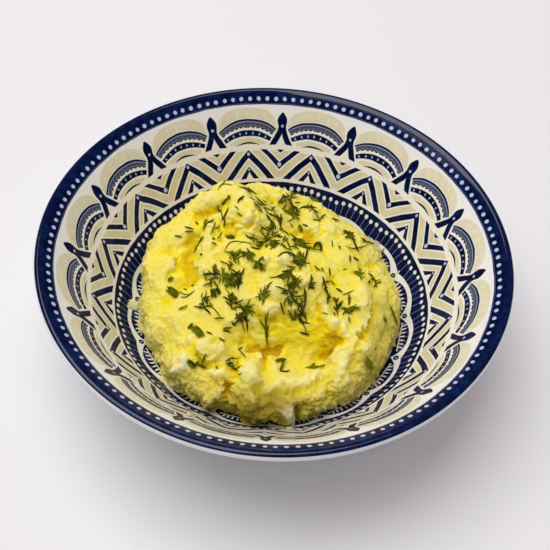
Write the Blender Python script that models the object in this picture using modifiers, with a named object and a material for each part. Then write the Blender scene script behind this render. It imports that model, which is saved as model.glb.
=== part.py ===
"""A side of mashed potato, heaped in the round bowl that it is served in.

Two solids share one frame, with the origin on the table under the middle of the bowl and +Z up:
the glazed bowl, turned on a wheel, and the heap of mash that lies in its well.
All lengths are in metres.
"""
import math

import bmesh
import bpy
import numpy as np
from mathutils import Vector, noise

MM = 0.001

# The bowl: its inside is drawn from the lip inwards, and the outside follows at one thickness.
BOWL_RADIUS = 111.2 * MM
BOWL_HEIGHT = 60.0 * MM
WALL_THICKNESS = 4.4 * MM
LIP_SLOPE = math.radians(34.0)
WALL_SLOPE = math.radians(52.6)
FLOOR_SLOPE = math.radians(3.0)
LIP_SWEEP_WIDTH = 12.2 * MM
WALL_RUN_WIDTH = 24.0 * MM
WELL_ARC_RADIUS = 15.0 * MM
FOOT_RADIUS = 50.0 * MM
FOOT_WIDTH = 4.6 * MM
FOOT_EDGE = 0.8 * MM
TURNING_STEPS = 72
FINE = 64

# The heap: a steep-sided mound that fills the well, highest at the back left.
HEAP_GAP = 0.4 * MM
HEAP_REACH = 64.6 * MM
HEAP_CROWN = 38.0 * MM
HEAP_SHOULDER = 32.0 * MM
SHOULDER_PLACE = 0.72
SIDE_FULLNESS = 0.80
RIGHT_SLOPE = 0.24
FRONT_FACE = 0.10
TOP_FULLNESS = 0.54
HEAP_SUBDIVISIONS = 5
TOE_ANGLE = math.radians(140.0)
EVEN_SPACING = 0.60
TOE_FADE = 0.10


def gaussian(distance, width):
    """A smooth hill of height 1 that dies away over its width."""
    return math.exp(-(distance / width) ** 2)


def around(azimuth, centre, width):
    """A smooth hill of height 1 round one azimuth, all in degrees."""
    return gaussian((azimuth - centre + 180.0) % 360.0 - 180.0, width)


# ---------------------------------------------------------------------------------------- bowl
def sweep(point, slope_from, slope_to, radius, steps):
    """Points along an arc that runs inwards and downwards while its slope changes."""
    points = []
    turn = 1.0 if slope_to > slope_from else -1.0
    for step in range(1, steps + 1):
        slope = slope_from + (slope_to - slope_from) * step / steps
        inwards = turn * radius * (math.sin(slope) - math.sin(slope_from))
        down = turn * radius * (math.cos(slope_from) - math.cos(slope))
        points.append((point[0] - inwards, point[1] - down, slope))
    return points


def inside_profile(steps):
    """The inside of the bowl as (radius, height, slope), from the lip in to the middle of the floor."""
    half = WALL_THICKNESS / 2
    lip_x = BOWL_RADIUS - half
    lip_z = BOWL_HEIGHT - half
    start = (lip_x - half * math.sin(LIP_SLOPE), lip_z + half * math.cos(LIP_SLOPE), LIP_SLOPE)
    lip_arc = LIP_SWEEP_WIDTH / (math.sin(WALL_SLOPE) - math.sin(LIP_SLOPE))
    points = [start] + sweep(start, LIP_SLOPE, WALL_SLOPE, lip_arc, steps)
    top = points[-1]
    bottom = (top[0] - WALL_RUN_WIDTH, top[1] - WALL_RUN_WIDTH * math.tan(WALL_SLOPE), WALL_SLOPE)
    points.append(bottom)
    points += sweep(bottom, WALL_SLOPE, FLOOR_SLOPE, WELL_ARC_RADIUS, steps)
    edge = points[-1]
    floor_arc = edge[0] / math.sin(FLOOR_SLOPE)
    return points + sweep(edge, FLOOR_SLOPE, 0.0, floor_arc, max(2, steps // 2))


INSIDE = np.array(inside_profile(FINE))[::-1]


def inside_height(radius):
    """Height of the bowl's inside at a distance from its axis."""
    return float(np.interp(radius, INSIDE[:, 0], INSIDE[:, 1]))


def lip_points(steps):
    """The rounded lip, from the end of the inside over the top to the outside."""
    half = WALL_THICKNESS / 2
    points = []
    for step in range(1, steps):
        angle = math.pi / 2 + LIP_SLOPE - math.pi * step / steps
        x = BOWL_RADIUS - half + half * math.cos(angle)
        points.append((x, BOWL_HEIGHT - half + half * math.sin(angle)))
    return points


def bowl_profile():
    """The whole outline: up the inside, over the lip, down the outside, round the foot to the axis."""
    inside = inside_profile(4)
    outline = [(x, z) for x, z, slope in reversed(inside)] + lip_points(5)
    for x, z, slope in inside:
        outer_x = x + WALL_THICKNESS * math.sin(slope)
        outer_z = z - WALL_THICKNESS * math.cos(slope)
        if outer_x > FOOT_RADIUS + FOOT_EDGE:
            outline.append((outer_x, outer_z))
    underside = inside_height(0.0) - WALL_THICKNESS
    inner = FOOT_RADIUS - FOOT_WIDTH
    outline += [(FOOT_RADIUS, outline[-1][1] - FOOT_EDGE), (FOOT_RADIUS, FOOT_EDGE)]
    outline += [(FOOT_RADIUS - FOOT_EDGE, 0.0), (inner + FOOT_EDGE, 0.0), (inner, FOOT_EDGE)]
    return outline + [(inner, underside - FOOT_EDGE), (inner - FOOT_EDGE, underside), (0.0, underside)]


def make_bowl(collection):
    mesh = bpy.data.meshes.new("bowl")
    outline = [(x, 0.0, z) for x, z in bowl_profile()]
    mesh.from_pydata(outline, [(i, i + 1) for i in range(len(outline) - 1)], [])
    bowl = bpy.data.objects.new("bowl", mesh)
    collection.objects.link(bowl)
    turn = bowl.modifiers.new("turned", "SCREW")
    turn.axis = "Z"
    turn.steps = TURNING_STEPS
    turn.render_steps = TURNING_STEPS
    turn.use_merge_vertices = True
    turn.merge_threshold = 0.00005
    turn.use_smooth_shade = True
    mesh.materials.append(make_material("glazed stoneware", (0.86, 0.83, 0.76), 0.18))
    return bowl


# ---------------------------------------------------------------------------------------- heap
def reach(azimuth):
    """How far the heap spreads from the axis, with the uneven edge that a spoon leaves."""
    edge = HEAP_REACH + 2.4 * MM * around(azimuth, 258, 48) + 2.2 * MM * around(azimuth, 145, 32)
    edge -= 2.6 * MM * around(azimuth, 12, 30)
    wobble = 0.9 * math.sin(math.radians(5 * azimuth) + 0.6)
    return edge + (wobble + 0.6 * math.sin(math.radians(9 * azimuth) + 2.0)) * MM


def shoulder(azimuth):
    """Height of the mound above the floor where its top turns down into its side."""
    high = 14.5 * MM * around(azimuth, 118, 34) + 3.0 * MM * around(azimuth, 165, 30)
    low = 10.0 * MM * around(azimuth, 275, 60) + 3.0 * MM * around(azimuth, 62, 24)
    return HEAP_SHOULDER + high - low


# Each mark on the smooth mound is (x, y, half length, half width, turn, height): lengths in mm, the
# turn in degrees, and a height below zero for a hollow.
SPOON_HOLLOWS = (
    (11, -40, 23.0, 7.5, -4, -7.0),  # the long hollow that the spoon pressed in front
    (-6, -46, 7.0, 4.5, 20, -3.5),  # its deep left end
    (28, -39, 6.0, 4.5, -30, -4.0),  # its deep right end
    (-41, 5, 5.5, 11.0, -12, -6.0),  # the buttery hollow on the left
    (-40, -8, 8.0, 5.0, 20, -3.5),  # and its lower pocket
    (-49, 12, 10.0, 3.5, 30, -3.0),  # the groove behind it
    (-34, 31, 12.0, 3.5, 10, -4.0),  # the fold under the back left peak
    (1, 43, 8.0, 4.5, 0, -3.5),  # dents over the crown
    (-22, 18, 7.0, 5.0, 0, -3.0),
    (-6, 13, 6.5, 6.0, 0, -3.5),
    (6, 27, 6.5, 5.0, 0, -2.5),
    (19, 20, 9.0, 4.5, -20, -3.0),
    (49, 8, 4.5, 14.0, -12, -2.5),  # the groove down the right flank
    (-48, -38, 5.0, 8.0, 5, -3.2),  # creases in the front face
    (-24, -47, 7.0, 4.5, -20, -3.5),
    (-16, -62, 4.0, 5.0, 0, -3.5),
    (30, -58, 6.0, 5.0, 20, -2.0),
)
LUMPS = (
    (9, -61, 28.0, 5.0, 6, 4.0),  # the ridge pushed up in front of the long hollow
    (34, -45, 5.0, 9.5, -25, 4.0),  # its right corner
    (31, -28, 8.0, 5.0, -30, 3.5),
    (-7, -55, 4.0, 6.5, -12, 5.5),  # the pointed tuft on it
    (-19, -55, 8.0, 4.5, -28, 3.0),  # the crumbly front left
    (-30, -41, 8.0, 5.0, -20, 3.0),
    (-37, -50, 7.0, 5.0, -20, 2.5),
    (-19, -61, 7.0, 5.0, 0, 2.0),
    (-2, -64, 5.5, 6.0, 0, 2.5),
    (-55, -3, 6.0, 11.0, 5, 3.0),  # the bulge outside the left hollow
    (-32, 7, 5.0, 12.0, -10, 2.5),
    (-34, 40, 11.0, 6.0, 14, 3.5),  # the back left peak
    (-26, 46, 6.0, 4.0, 0, 3.0),
    (-16, 26, 8.0, 6.0, 0, 3.0),  # curds over the crown
    (-10, 0, 7.0, 6.0, 0, 2.5),
    (2, -15, 9.0, 6.0, 0, 3.0),
    (22, 31, 10.0, 7.0, -20, 3.5),
    (17, -5, 9.0, 9.0, 0, 2.5),
    (42, -6, 5.0, 12.0, -12, 3.5),  # the shoulder over the right flank
    (44, -33, 7.0, 6.0, 0, 3.0),
)
CURD_LAYERS = ((15.0 * MM, 1.5 * MM), (8.0 * MM, 0.8 * MM))


def mark_height(point):
    """How far the spoon marks and lumps move the surface at a point of the smooth mound."""
    total = 0.0
    for x, y, half_length, half_width, turn, height in SPOON_HOLLOWS + LUMPS:
        angle = math.radians(turn)
        dx = point.x / MM - x
        dy = point.y / MM - y
        along = (dx * math.cos(angle) + dy * math.sin(angle)) / half_length
        across = (dy * math.cos(angle) - dx * math.sin(angle)) / half_width
        total += height * MM * math.exp(-(along ** 2 + across ** 2) ** 1.2)
    return total


def curd_height(point):
    """The uneven, curdy surface between the marks."""
    return sum(depth * noise.noise(point / size) for size, depth in CURD_LAYERS)


def smooth_mound(azimuth, climb):
    """A point of the smooth mound: climb runs from 0 at the toe to 1 at the crown."""
    angle = (1.0 - climb) * math.pi / 2
    edge = reach(azimuth)
    fullness = SIDE_FULLNESS + RIGHT_SLOPE * around(azimuth, 5, 50)
    fullness -= FRONT_FACE * around(azimuth, 270, 50)
    radius = edge * math.sin(angle) ** fullness
    blend = min(1.0, radius / (SHOULDER_PLACE * edge))
    blend = blend * blend * (3.0 - 2.0 * blend)
    top = inside_height(0.0) + HEAP_CROWN + (shoulder(azimuth) - HEAP_CROWN) * blend
    toe = inside_height(edge) + HEAP_GAP
    height = toe + (top - toe) * math.cos(angle) ** TOP_FULLNESS
    turn = math.radians(azimuth)
    return Vector((radius * math.cos(turn), radius * math.sin(turn), height))


def mound_normal(azimuth, climb):
    """Outward normal of the smooth mound, from two short steps along it."""
    step = 0.01
    low = max(0.0, climb - step)
    high = min(1.0 - step, climb + step)
    up = smooth_mound(azimuth, high) - smooth_mound(azimuth, low)
    side = smooth_mound(azimuth + 1.0, low) - smooth_mound(azimuth - 1.0, low)
    normal = side.cross(up)
    return normal.normalized() if normal.length > 0 else Vector((0.0, 0.0, 1.0))


def heap_point(azimuth, climb):
    """A point of the finished top of the heap."""
    point = smooth_mound(azimuth, climb)
    fade = min(1.0, climb / TOE_FADE)
    if climb > 0.97:
        normal = Vector((0.0, 0.0, 1.0))
    else:
        normal = mound_normal(azimuth, climb)
    return point + normal * (mark_height(point) + curd_height(point)) * fade


def under_point(azimuth, inwards):
    """A point of the underside, which lies on the bowl: inwards runs from 0 at the toe to 1."""
    radius = reach(azimuth) * math.sqrt(1.0 - min(1.0, inwards))
    turn = math.radians(azimuth)
    height = inside_height(radius) + HEAP_GAP
    return Vector((radius * math.cos(turn), radius * math.sin(turn), height))


def make_heap(collection):
    """An icosphere whose cap becomes the mound and whose small remainder becomes the underside."""
    form = bmesh.new()
    bmesh.ops.create_icosphere(form, subdivisions=HEAP_SUBDIVISIONS, radius=1.0)
    toe = 1.0 - math.cos(TOE_ANGLE)
    for vertex in form.verts:
        direction = vertex.co.normalized()
        azimuth = math.degrees(math.atan2(direction.y, direction.x)) % 360.0
        share = (1.0 - direction.z) / toe
        if share <= 1.0:
            vertex.co = heap_point(azimuth, 1.0 - share ** EVEN_SPACING)
        else:
            vertex.co = under_point(azimuth, (share - 1.0) * toe / (2.0 - toe))
    mesh = bpy.data.meshes.new("mashed_potato")
    form.to_mesh(mesh)
    form.free()
    mesh.shade_smooth()
    mesh.materials.append(make_material("buttered mash", (0.90, 0.78, 0.33), 0.45))
    heap = bpy.data.objects.new("mashed_potato", mesh)
    collection.objects.link(heap)
    return heap


# ------------------------------------------------------------------------------------- helpers
def make_material(name, colour, roughness):
    material = bpy.data.materials.new(name)
    material.use_nodes = True
    shader = material.node_tree.nodes["Principled BSDF"]
    shader.inputs["Base Color"].default_value = (*colour, 1.0)
    shader.inputs["Roughness"].default_value = roughness
    shader.inputs["Metallic"].default_value = 0.0
    return material


def main():
    for old in list(bpy.data.objects):
        bpy.data.objects.remove(old, do_unlink=True)
    collection = bpy.data.collections.new("mashed potato side")
    bpy.context.scene.collection.children.link(collection)
    make_bowl(collection)
    make_heap(collection)


main()
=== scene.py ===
# %% [markdown]
# # Mashed potato in a painted bowl
# The bowl is thrown stoneware with an ornament painted on white slip, under a clear glaze. The mash was
# heaped into it with a spoon, dotted with melted butter and sprinkled with chopped dill.
# The frame holds the two solids at their real size. This lesson dresses them: a finer bowl with its
# painted bands, a finer heap with the curds and folds of real mash, the dill, and the smears of the spoon.

# %% Load the fixed frame
import math
import random

import bmesh
import bpy
import numpy as np
from mathutils import Matrix, Vector, noise
from mathutils.bvhtree import BVHTree


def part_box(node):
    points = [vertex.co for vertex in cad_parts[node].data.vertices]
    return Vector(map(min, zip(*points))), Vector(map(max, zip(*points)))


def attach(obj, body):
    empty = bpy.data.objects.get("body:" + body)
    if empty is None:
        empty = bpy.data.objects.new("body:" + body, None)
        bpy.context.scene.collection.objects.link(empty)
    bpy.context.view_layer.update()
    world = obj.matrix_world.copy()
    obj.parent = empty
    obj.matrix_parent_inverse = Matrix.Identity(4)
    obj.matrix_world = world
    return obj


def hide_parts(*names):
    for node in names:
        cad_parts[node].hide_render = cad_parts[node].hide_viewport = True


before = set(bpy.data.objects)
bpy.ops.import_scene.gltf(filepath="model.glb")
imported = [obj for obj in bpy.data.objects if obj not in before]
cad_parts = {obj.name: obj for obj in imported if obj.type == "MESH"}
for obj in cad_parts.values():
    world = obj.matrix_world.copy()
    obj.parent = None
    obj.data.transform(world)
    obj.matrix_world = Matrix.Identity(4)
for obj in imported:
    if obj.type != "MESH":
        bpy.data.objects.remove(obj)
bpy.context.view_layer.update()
MM = 0.001

# %% [markdown]
# ## The sizes that the frame gives
# Everything below hangs on the bowl's radius and height and on where the heap lies. They are read from
# the frame, so the looks always fit the solids.

# %% Read the sizes
bowl_low, bowl_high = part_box("bowl")
heap_low, heap_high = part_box("mashed_potato")
BOWL_RADIUS = (bowl_high.x - bowl_low.x) / 2
BOWL_HEIGHT = bowl_high.z
print("bowl", round(BOWL_RADIUS / MM, 1), "by", round(BOWL_HEIGHT / MM, 1), "mm; heap top", round(heap_high.z / MM, 1))

# %% [markdown]
# ## Camera
# The eye is about half a metre away and looks down into the bowl at 51 degrees, with the head tilted a
# little. A camera is placed by a move, then a tilt about X, then a roll about its own line of sight.

# %% Camera
CAMERA_PLACE = Vector((0.57, -323.64, 438.35)) * MM
CAMERA_TILT = math.radians(39.0)
CAMERA_ROLL = math.radians(4.66)

lens = bpy.data.cameras.new("eye")
lens.lens = 70.21
lens.sensor_width = 36.0
eye = bpy.data.objects.new("eye", lens)
eye.matrix_world = (
    Matrix.Translation(CAMERA_PLACE) @ Matrix.Rotation(CAMERA_TILT, 4, "X") @ Matrix.Rotation(CAMERA_ROLL, 4, "Z")
)
bpy.context.scene.collection.objects.link(eye)
bpy.context.scene.camera = eye
bpy.context.scene.view_settings.view_transform = "Standard"
print("camera at", [round(v / MM) for v in eye.location])

# %% [markdown]
# ## Light
# A large high window lights the bowl from above, from the left and a little from behind, and warm white
# walls fill the shadows. The window is one big area light and the world is the walls. A glossy glaze
# mirrors the dimmer part of a room, so the world is darker for reflections than for the light that it
# sheds. The walls are brightest overhead and on the window's side, which leaves the front of the food in
# soft shade.

# %% Lights and world
def window(name, place, size, power, tint):
    """A square of soft light that faces the bowl."""
    light = bpy.data.lights.new(name, "AREA")
    light.shape = "SQUARE"
    light.size = size
    light.energy = power
    light.color = tint
    lamp = bpy.data.objects.new(name, light)
    lamp.location = place
    lamp.rotation_euler = (-Vector(place)).to_track_quat("-Z", "Y").to_euler()
    bpy.context.scene.collection.objects.link(lamp)
    return lamp


WALL_LIGHT = 0.295
WALL_SLANT = (-0.10, 0.03, 0.22)

window("window", (-0.72, 0.38, 2.60), 2.4, 57.0, (1.0, 0.99, 0.972))
walls = bpy.data.worlds.new("walls")
walls.use_nodes = True
white_walls = walls.node_tree.nodes["Background"]
white_walls.inputs["Color"].default_value = (0.98, 0.895, 0.86, 1.0)
facing = walls.node_tree.nodes.new("ShaderNodeTexCoord")
towards_window = walls.node_tree.nodes.new("ShaderNodeVectorMath")
towards_window.operation = "DOT_PRODUCT"
towards_window.inputs[1].default_value = WALL_SLANT
walls.node_tree.links.new(facing.outputs["Generated"], towards_window.inputs[0])
brightness = walls.node_tree.nodes.new("ShaderNodeMath")
brightness.inputs[1].default_value = WALL_LIGHT
walls.node_tree.links.new(towards_window.outputs["Value"], brightness.inputs[0])
walls.node_tree.links.new(brightness.outputs[0], white_walls.inputs["Strength"])
dim_corner = walls.node_tree.nodes.new("ShaderNodeBackground")
dim_corner.inputs["Color"].default_value = (0.93, 0.93, 0.96, 1.0)
dim_corner.inputs["Strength"].default_value = 0.06
ray = walls.node_tree.nodes.new("ShaderNodeLightPath")
choice = walls.node_tree.nodes.new("ShaderNodeMixShader")
walls.node_tree.links.new(ray.outputs["Is Glossy Ray"], choice.inputs[0])
walls.node_tree.links.new(white_walls.outputs[0], choice.inputs[1])
walls.node_tree.links.new(dim_corner.outputs[0], choice.inputs[2])
walls.node_tree.links.new(choice.outputs[0], walls.node_tree.nodes["World Output"].inputs["Surface"])
bpy.context.scene.world = walls

# %% [markdown]
# ## Floor
# The bowl stands on a plain white sheet. It is far wider than the bowl, so no edge of it ever shows.

# %% Floor
FLOOR_WIDTH = 6.0

sheet = bmesh.new()
bmesh.ops.create_grid(sheet, x_segments=2, y_segments=2, size=FLOOR_WIDTH / 2)
floor_mesh = bpy.data.meshes.new("floor")
sheet.to_mesh(floor_mesh)
sheet.free()
floor = bpy.data.objects.new("floor", floor_mesh)
bpy.context.scene.collection.objects.link(floor)
paper = bpy.data.materials.new("white paper")
paper.use_nodes = True
paper.node_tree.nodes["Principled BSDF"].inputs["Base Color"].default_value = (0.833, 0.838, 0.866, 1.0)
paper.node_tree.nodes["Principled BSDF"].inputs["Roughness"].default_value = 0.75
floor_mesh.materials.append(paper)
print("floor", FLOOR_WIDTH, "m wide")

# %% [markdown]
# ## The bowl's outline
# A thrown bowl is one outline turned round an axis. The solid turns a coarse one in 72 steps; here the
# same outline is drawn with many more points on its arcs. It runs from the middle of the floor up the
# wall, over the lip and down the outside to the foot. Each point also keeps its distance from the lip
# along the clay, because the painter measured the bands that way.

# %% The bowl's outline
WALL_THICKNESS = 4.4 * MM
LIP_SLOPE = math.radians(34.0)
WALL_SLOPE = math.radians(52.6)
FLOOR_SLOPE = math.radians(3.0)
LIP_SWEEP_WIDTH = 12.2 * MM
WALL_RUN_WIDTH = 24.0 * MM
WELL_ARC_RADIUS = 15.0 * MM
FOOT_RADIUS = 50.0 * MM
FOOT_WIDTH = 4.6 * MM
FOOT_EDGE = 0.8 * MM
PAINT_START = 110.0 * MM


def sweep(point, slope_from, slope_to, radius, steps):
    """Points along an arc that runs inwards and downwards while its slope changes."""
    turn = 1.0 if slope_to > slope_from else -1.0
    points = []
    for step in range(1, steps + 1):
        slope = slope_from + (slope_to - slope_from) * step / steps
        inwards = turn * radius * (math.sin(slope) - math.sin(slope_from))
        down = turn * radius * (math.cos(slope_from) - math.cos(slope))
        points.append((point[0] - inwards, point[1] - down, slope))
    return points


def straight(start, end, steps):
    """Points along a straight run, without its start."""
    ends = np.array(start), np.array(end)
    return [tuple(ends[0] + (ends[1] - ends[0]) * step / steps) for step in range(1, steps + 1)]


def inside_outline():
    """The inside as (radius, height, slope), from the lip in to the middle of the floor."""
    half = WALL_THICKNESS / 2
    lip = (BOWL_RADIUS - half * (1 + math.sin(LIP_SLOPE)), BOWL_HEIGHT - half * (1 - math.cos(LIP_SLOPE)), LIP_SLOPE)
    points = [lip] + sweep(lip, LIP_SLOPE, WALL_SLOPE, LIP_SWEEP_WIDTH / (math.sin(WALL_SLOPE) - math.sin(LIP_SLOPE)), 10)
    top = points[-1]
    points += straight(top, (top[0] - WALL_RUN_WIDTH, top[1] - WALL_RUN_WIDTH * math.tan(WALL_SLOPE), WALL_SLOPE), 20)
    points += sweep(points[-1], WALL_SLOPE, FLOOR_SLOPE, WELL_ARC_RADIUS, 14)
    edge = points[-1]
    return points + sweep(edge, FLOOR_SLOPE, 0.0, edge[0] / math.sin(FLOOR_SLOPE), 16)


INSIDE = inside_outline()
inside_curve = np.array(INSIDE)[::-1]


def inside_height(radius):
    """Height of the bowl's inside at a distance from its axis."""
    return np.interp(radius, inside_curve[:, 0], inside_curve[:, 1])


print(len(INSIDE), "points from lip to middle; floor at", round(float(inside_height(0.0)) / MM, 2), "mm")

# %% Over the lip, down the outside and round the foot
def outside_outline():
    """The rest of the outline, from the lip down the outside and under the foot to the axis."""
    half = WALL_THICKNESS / 2
    centre = (BOWL_RADIUS - half, BOWL_HEIGHT - half)
    lip_steps = 12
    points = []
    for step in range(1, lip_steps):
        angle = math.pi / 2 + LIP_SLOPE - math.pi * step / lip_steps
        points.append((centre[0] + half * math.cos(angle), centre[1] + half * math.sin(angle)))
    for x, z, slope in INSIDE:
        outer = (x + WALL_THICKNESS * math.sin(slope), z - WALL_THICKNESS * math.cos(slope))
        if outer[0] > FOOT_RADIUS + FOOT_EDGE:
            points.append(outer)
    underside = float(inside_height(0.0)) - WALL_THICKNESS
    inner = FOOT_RADIUS - FOOT_WIDTH
    foot = [(FOOT_RADIUS, points[-1][1] - FOOT_EDGE), (FOOT_RADIUS, FOOT_EDGE), (FOOT_RADIUS - FOOT_EDGE, 0.0)]
    foot += [(inner + FOOT_EDGE, 0.0), (inner, FOOT_EDGE), (inner, underside - FOOT_EDGE), (inner - FOOT_EDGE, underside)]
    for corner in foot:
        points += straight(points[-1], corner, 3)
    return points + straight(points[-1], (0.0, underside), 6)


outline = [(x, z) for x, z, slope in reversed(INSIDE)] + outside_outline()
steps_along = [0.0] + [math.dist(a, b) for a, b in zip(outline, outline[1:])]
along = np.cumsum(steps_along)
lip_index = len(INSIDE) - 1
paint_zero = float(np.interp(PAINT_START, [p[0] for p in outline[lip_index:lip_index + 5]], along[lip_index:lip_index + 5]))
runs = paint_zero - along
print(len(outline), "points in the whole outline,", round(along[-1] / MM), "mm long")
print("radius 102 mm is", round(float(np.interp(0.102, [p[0] for p in outline[:lip_index]], runs[:lip_index])) / MM, 1), "mm from the lip")

# %% [markdown]
# ## Turning the bowl
# The Screw modifier could turn the outline, but the painter's distance has to reach every vertex. So the
# rings are made by hand: one ring of vertices for each point of the outline, a single vertex at each end,
# and quads between neighbouring rings. A flat map from above lays the inside out like a dinner plate seen
# from above, with the plain outside small in a corner, so that a baked ornament stays sharp.

# %% Turn the bowl
TURNING_STEPS = 320


def turned_mesh(name, outline, steps):
    """Turns an outline whose first and last points lie on the axis."""
    angles = np.arange(steps) * 2 * math.pi / steps
    rings = [[(x * math.cos(a), x * math.sin(a), z) for a in angles] for x, z in outline[1:-1]]
    points = [(0.0, 0.0, outline[0][1])] + [p for ring in rings for p in ring] + [(0.0, 0.0, outline[-1][1])]
    last = len(points) - 1
    faces = []
    for k in range(steps):
        after = (k + 1) % steps
        faces.append((0, 1 + k, 1 + after))
        for ring in range(len(rings) - 1):
            low = 1 + ring * steps
            faces.append((low + k, low + steps + k, low + steps + after, low + after))
        faces.append((1 + (len(rings) - 1) * steps + k, last, 1 + (len(rings) - 1) * steps + after))
    mesh = bpy.data.meshes.new(name)
    mesh.from_pydata(points, [], faces)
    mesh.shade_smooth()
    return mesh


bowl_mesh = turned_mesh("painted_bowl", outline, TURNING_STEPS)
bowl = bpy.data.objects.new("painted_bowl", bowl_mesh)
bpy.context.scene.collection.objects.link(bowl)
run_values = np.concatenate([runs[:1], np.repeat(runs[1:-1], TURNING_STEPS), runs[-1:]]) / MM
run = bowl_mesh.attributes.new("run", "FLOAT", "POINT")
run.data.foreach_set("value", run_values.astype(np.float32))
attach(bowl, "root")
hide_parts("bowl")
print("bowl:", len(bowl_mesh.polygons), "faces")

# %% A flat map of the bowl
PLATE_EDGE = 0.9
PLATE_SIZE = 0.497
CORNER = 0.925
CORNER_SIZE = 0.072

places = np.array([v.co[:] for v in bowl_mesh.vertices])
corner_points = np.empty(len(bowl_mesh.loops), dtype=np.int64)
bowl_mesh.loops.foreach_get("vertex_index", corner_points)
face_start = np.array([p.loop_start for p in bowl_mesh.polygons])
face_size = np.array([p.loop_total for p in bowl_mesh.polygons])
corner_runs = run_values[corner_points]
on_plate = np.repeat(np.minimum.reduceat(corner_runs, face_start) > -PLATE_EDGE, face_size)[:, None]
outwards = places[corner_points][:, :2]
outwards = outwards / np.maximum(np.linalg.norm(outwards, axis=1, keepdims=True), 1e-9)
from_middle = ((run_values[0] - corner_runs) / (run_values[0] + PLATE_EDGE))[:, None]
from_foot = ((corner_runs - run_values[-1]) / -run_values[-1])[:, None]
plate = 0.5 + outwards * from_middle * PLATE_SIZE
corner = CORNER + outwards * (0.2 + 0.8 * from_foot) * CORNER_SIZE
flat_map = bowl_mesh.uv_layers.new(name="OFBake")
flat_map.data.foreach_set("uv", np.where(on_plate, plate, corner).ravel().astype(np.float32))
print("map:", int(on_plate.sum()), "corners on the plate,", int((~on_plate).sum()), "in the corner")

# %% [markdown]
# ## Node maths that reads like maths
# The ornament is drawn by formulas, as a painter rules it out: so far from the lip, so far across a
# repeat. In shader nodes each plus and minus is a Math node. A small class lets Python's own signs make
# those nodes, so that a shape can be written as a formula and checked by eye.

# %% A number in the node tree
class Number:
    """A value that a node puts out. Python's signs on it add Math nodes to its tree."""

    def __init__(self, tree, socket):
        self.tree = tree
        self.socket = socket

    def math(self, operation, *others):
        node = self.tree.nodes.new("ShaderNodeMath")
        node.operation = operation
        for slot, value in zip(node.inputs, (self,) + others):
            if isinstance(value, Number):
                self.tree.links.new(value.socket, slot)
            else:
                slot.default_value = value
        return Number(self.tree, node.outputs[0])

    def __add__(self, other):
        return self.math("ADD", other)

    def __sub__(self, other):
        return self.math("SUBTRACT", other)

    def __mul__(self, other):
        return self.math("MULTIPLY", other)

    def __truediv__(self, other):
        return self.math("DIVIDE", other)

    def __neg__(self):
        return self.math("MULTIPLY", -1.0)

    def __abs__(self):
        return self.math("ABSOLUTE")

    def __pow__(self, other):
        return self.math("POWER", other)

    def fraction(self):
        return self.math("FRACT")

    def floor(self):
        return self.math("FLOOR")

    def least(self, other):
        return self.math("MINIMUM", other)

    def most(self, other):
        return self.math("MAXIMUM", other)


PAINT_EDGE = 0.24


def inked(distance):
    """1 where a distance in mm is below zero, 0 where it is above, with a soft painted edge."""
    share = distance * (-1.0 / PAINT_EDGE) + 0.5
    share.socket.node.use_clamp = True
    return share


def both(first, second):
    """The part that two shapes share."""
    return first.most(second)


def without(mask, taken):
    """A mask with another one taken out of it."""
    return mask * (-taken + 1.0)


def oval(x, y, half_width, half_height):
    """Distance from an oval round the point where x and y are zero."""
    length = ((x / half_width) ** 2.0 + (y / half_height) ** 2.0).math("SQRT")
    return (length - 1.0) * min(half_width, half_height)


def nearest(x, spacing, first=0.0):
    """How far x is from the nearest of evenly spaced marks, and where that mark is."""
    step = ((x - first) / spacing + 0.5).floor() * spacing + first
    return x - step, step


print("helpers ready")

# %% [markdown]
# ## Bands as node groups
# Each band of the ornament is a node group of its own. It takes two measures: "across", which runs from
# -18 to 18 over one repeat and is about a millimetre a step, and "run", the distance from the lip in
# millimetres. It puts out "ink" for the cobalt, "sand" for the warm beige and "wash" for how much pale
# blue shows in the cobalt. There are 16 repeats.

# %% A group for a band
REPEATS = 16
ACROSS = 36.0
MASKS = ("ink", "sand", "wash")


def band_group(name, draw):
    """A node group around a drawing function that returns its ink, sand and wash masks."""
    tree = bpy.data.node_groups.new(name, "ShaderNodeTree")
    for label in ("across", "run"):
        tree.interface.new_socket(name=label, in_out="INPUT", socket_type="NodeSocketFloat")
    for label in MASKS:
        tree.interface.new_socket(name=label, in_out="OUTPUT", socket_type="NodeSocketFloat")
    entry = tree.nodes.new("NodeGroupInput")
    result = tree.nodes.new("NodeGroupOutput")
    masks = draw(Number(tree, entry.outputs["across"]), Number(tree, entry.outputs["run"]))
    for label, mask in zip(MASKS, masks):
        if mask is not None:
            tree.links.new(mask.socket, result.inputs[label])
    print(name, "uses", len(tree.nodes), "nodes")
    return tree


# %% [markdown]
# ### The rim
# A broad cobalt band round the lip carries a row of white dots, nine to a repeat.

# %% Rim band
def draw_rim(x, y):
    from_dot, dot = nearest(x, 4.0, 1.6)
    dots = oval(from_dot, y - 6.3, 0.88, 1.08)
    thin_line = abs(y - 8.75) - 0.12
    return inked(y - 9.3), None, inked(dots).most(inked(thin_line) * 0.25)


rim_band = band_group("rim band", draw_rim)

# %% [markdown]
# ### The arches
# Under the rim stands a row of sand-coloured fans. Across each lies a double arch: the outer one has a
# pale line and a fringe of leaves, the inner one a row of dashes, and a small arc sits below them.

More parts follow.
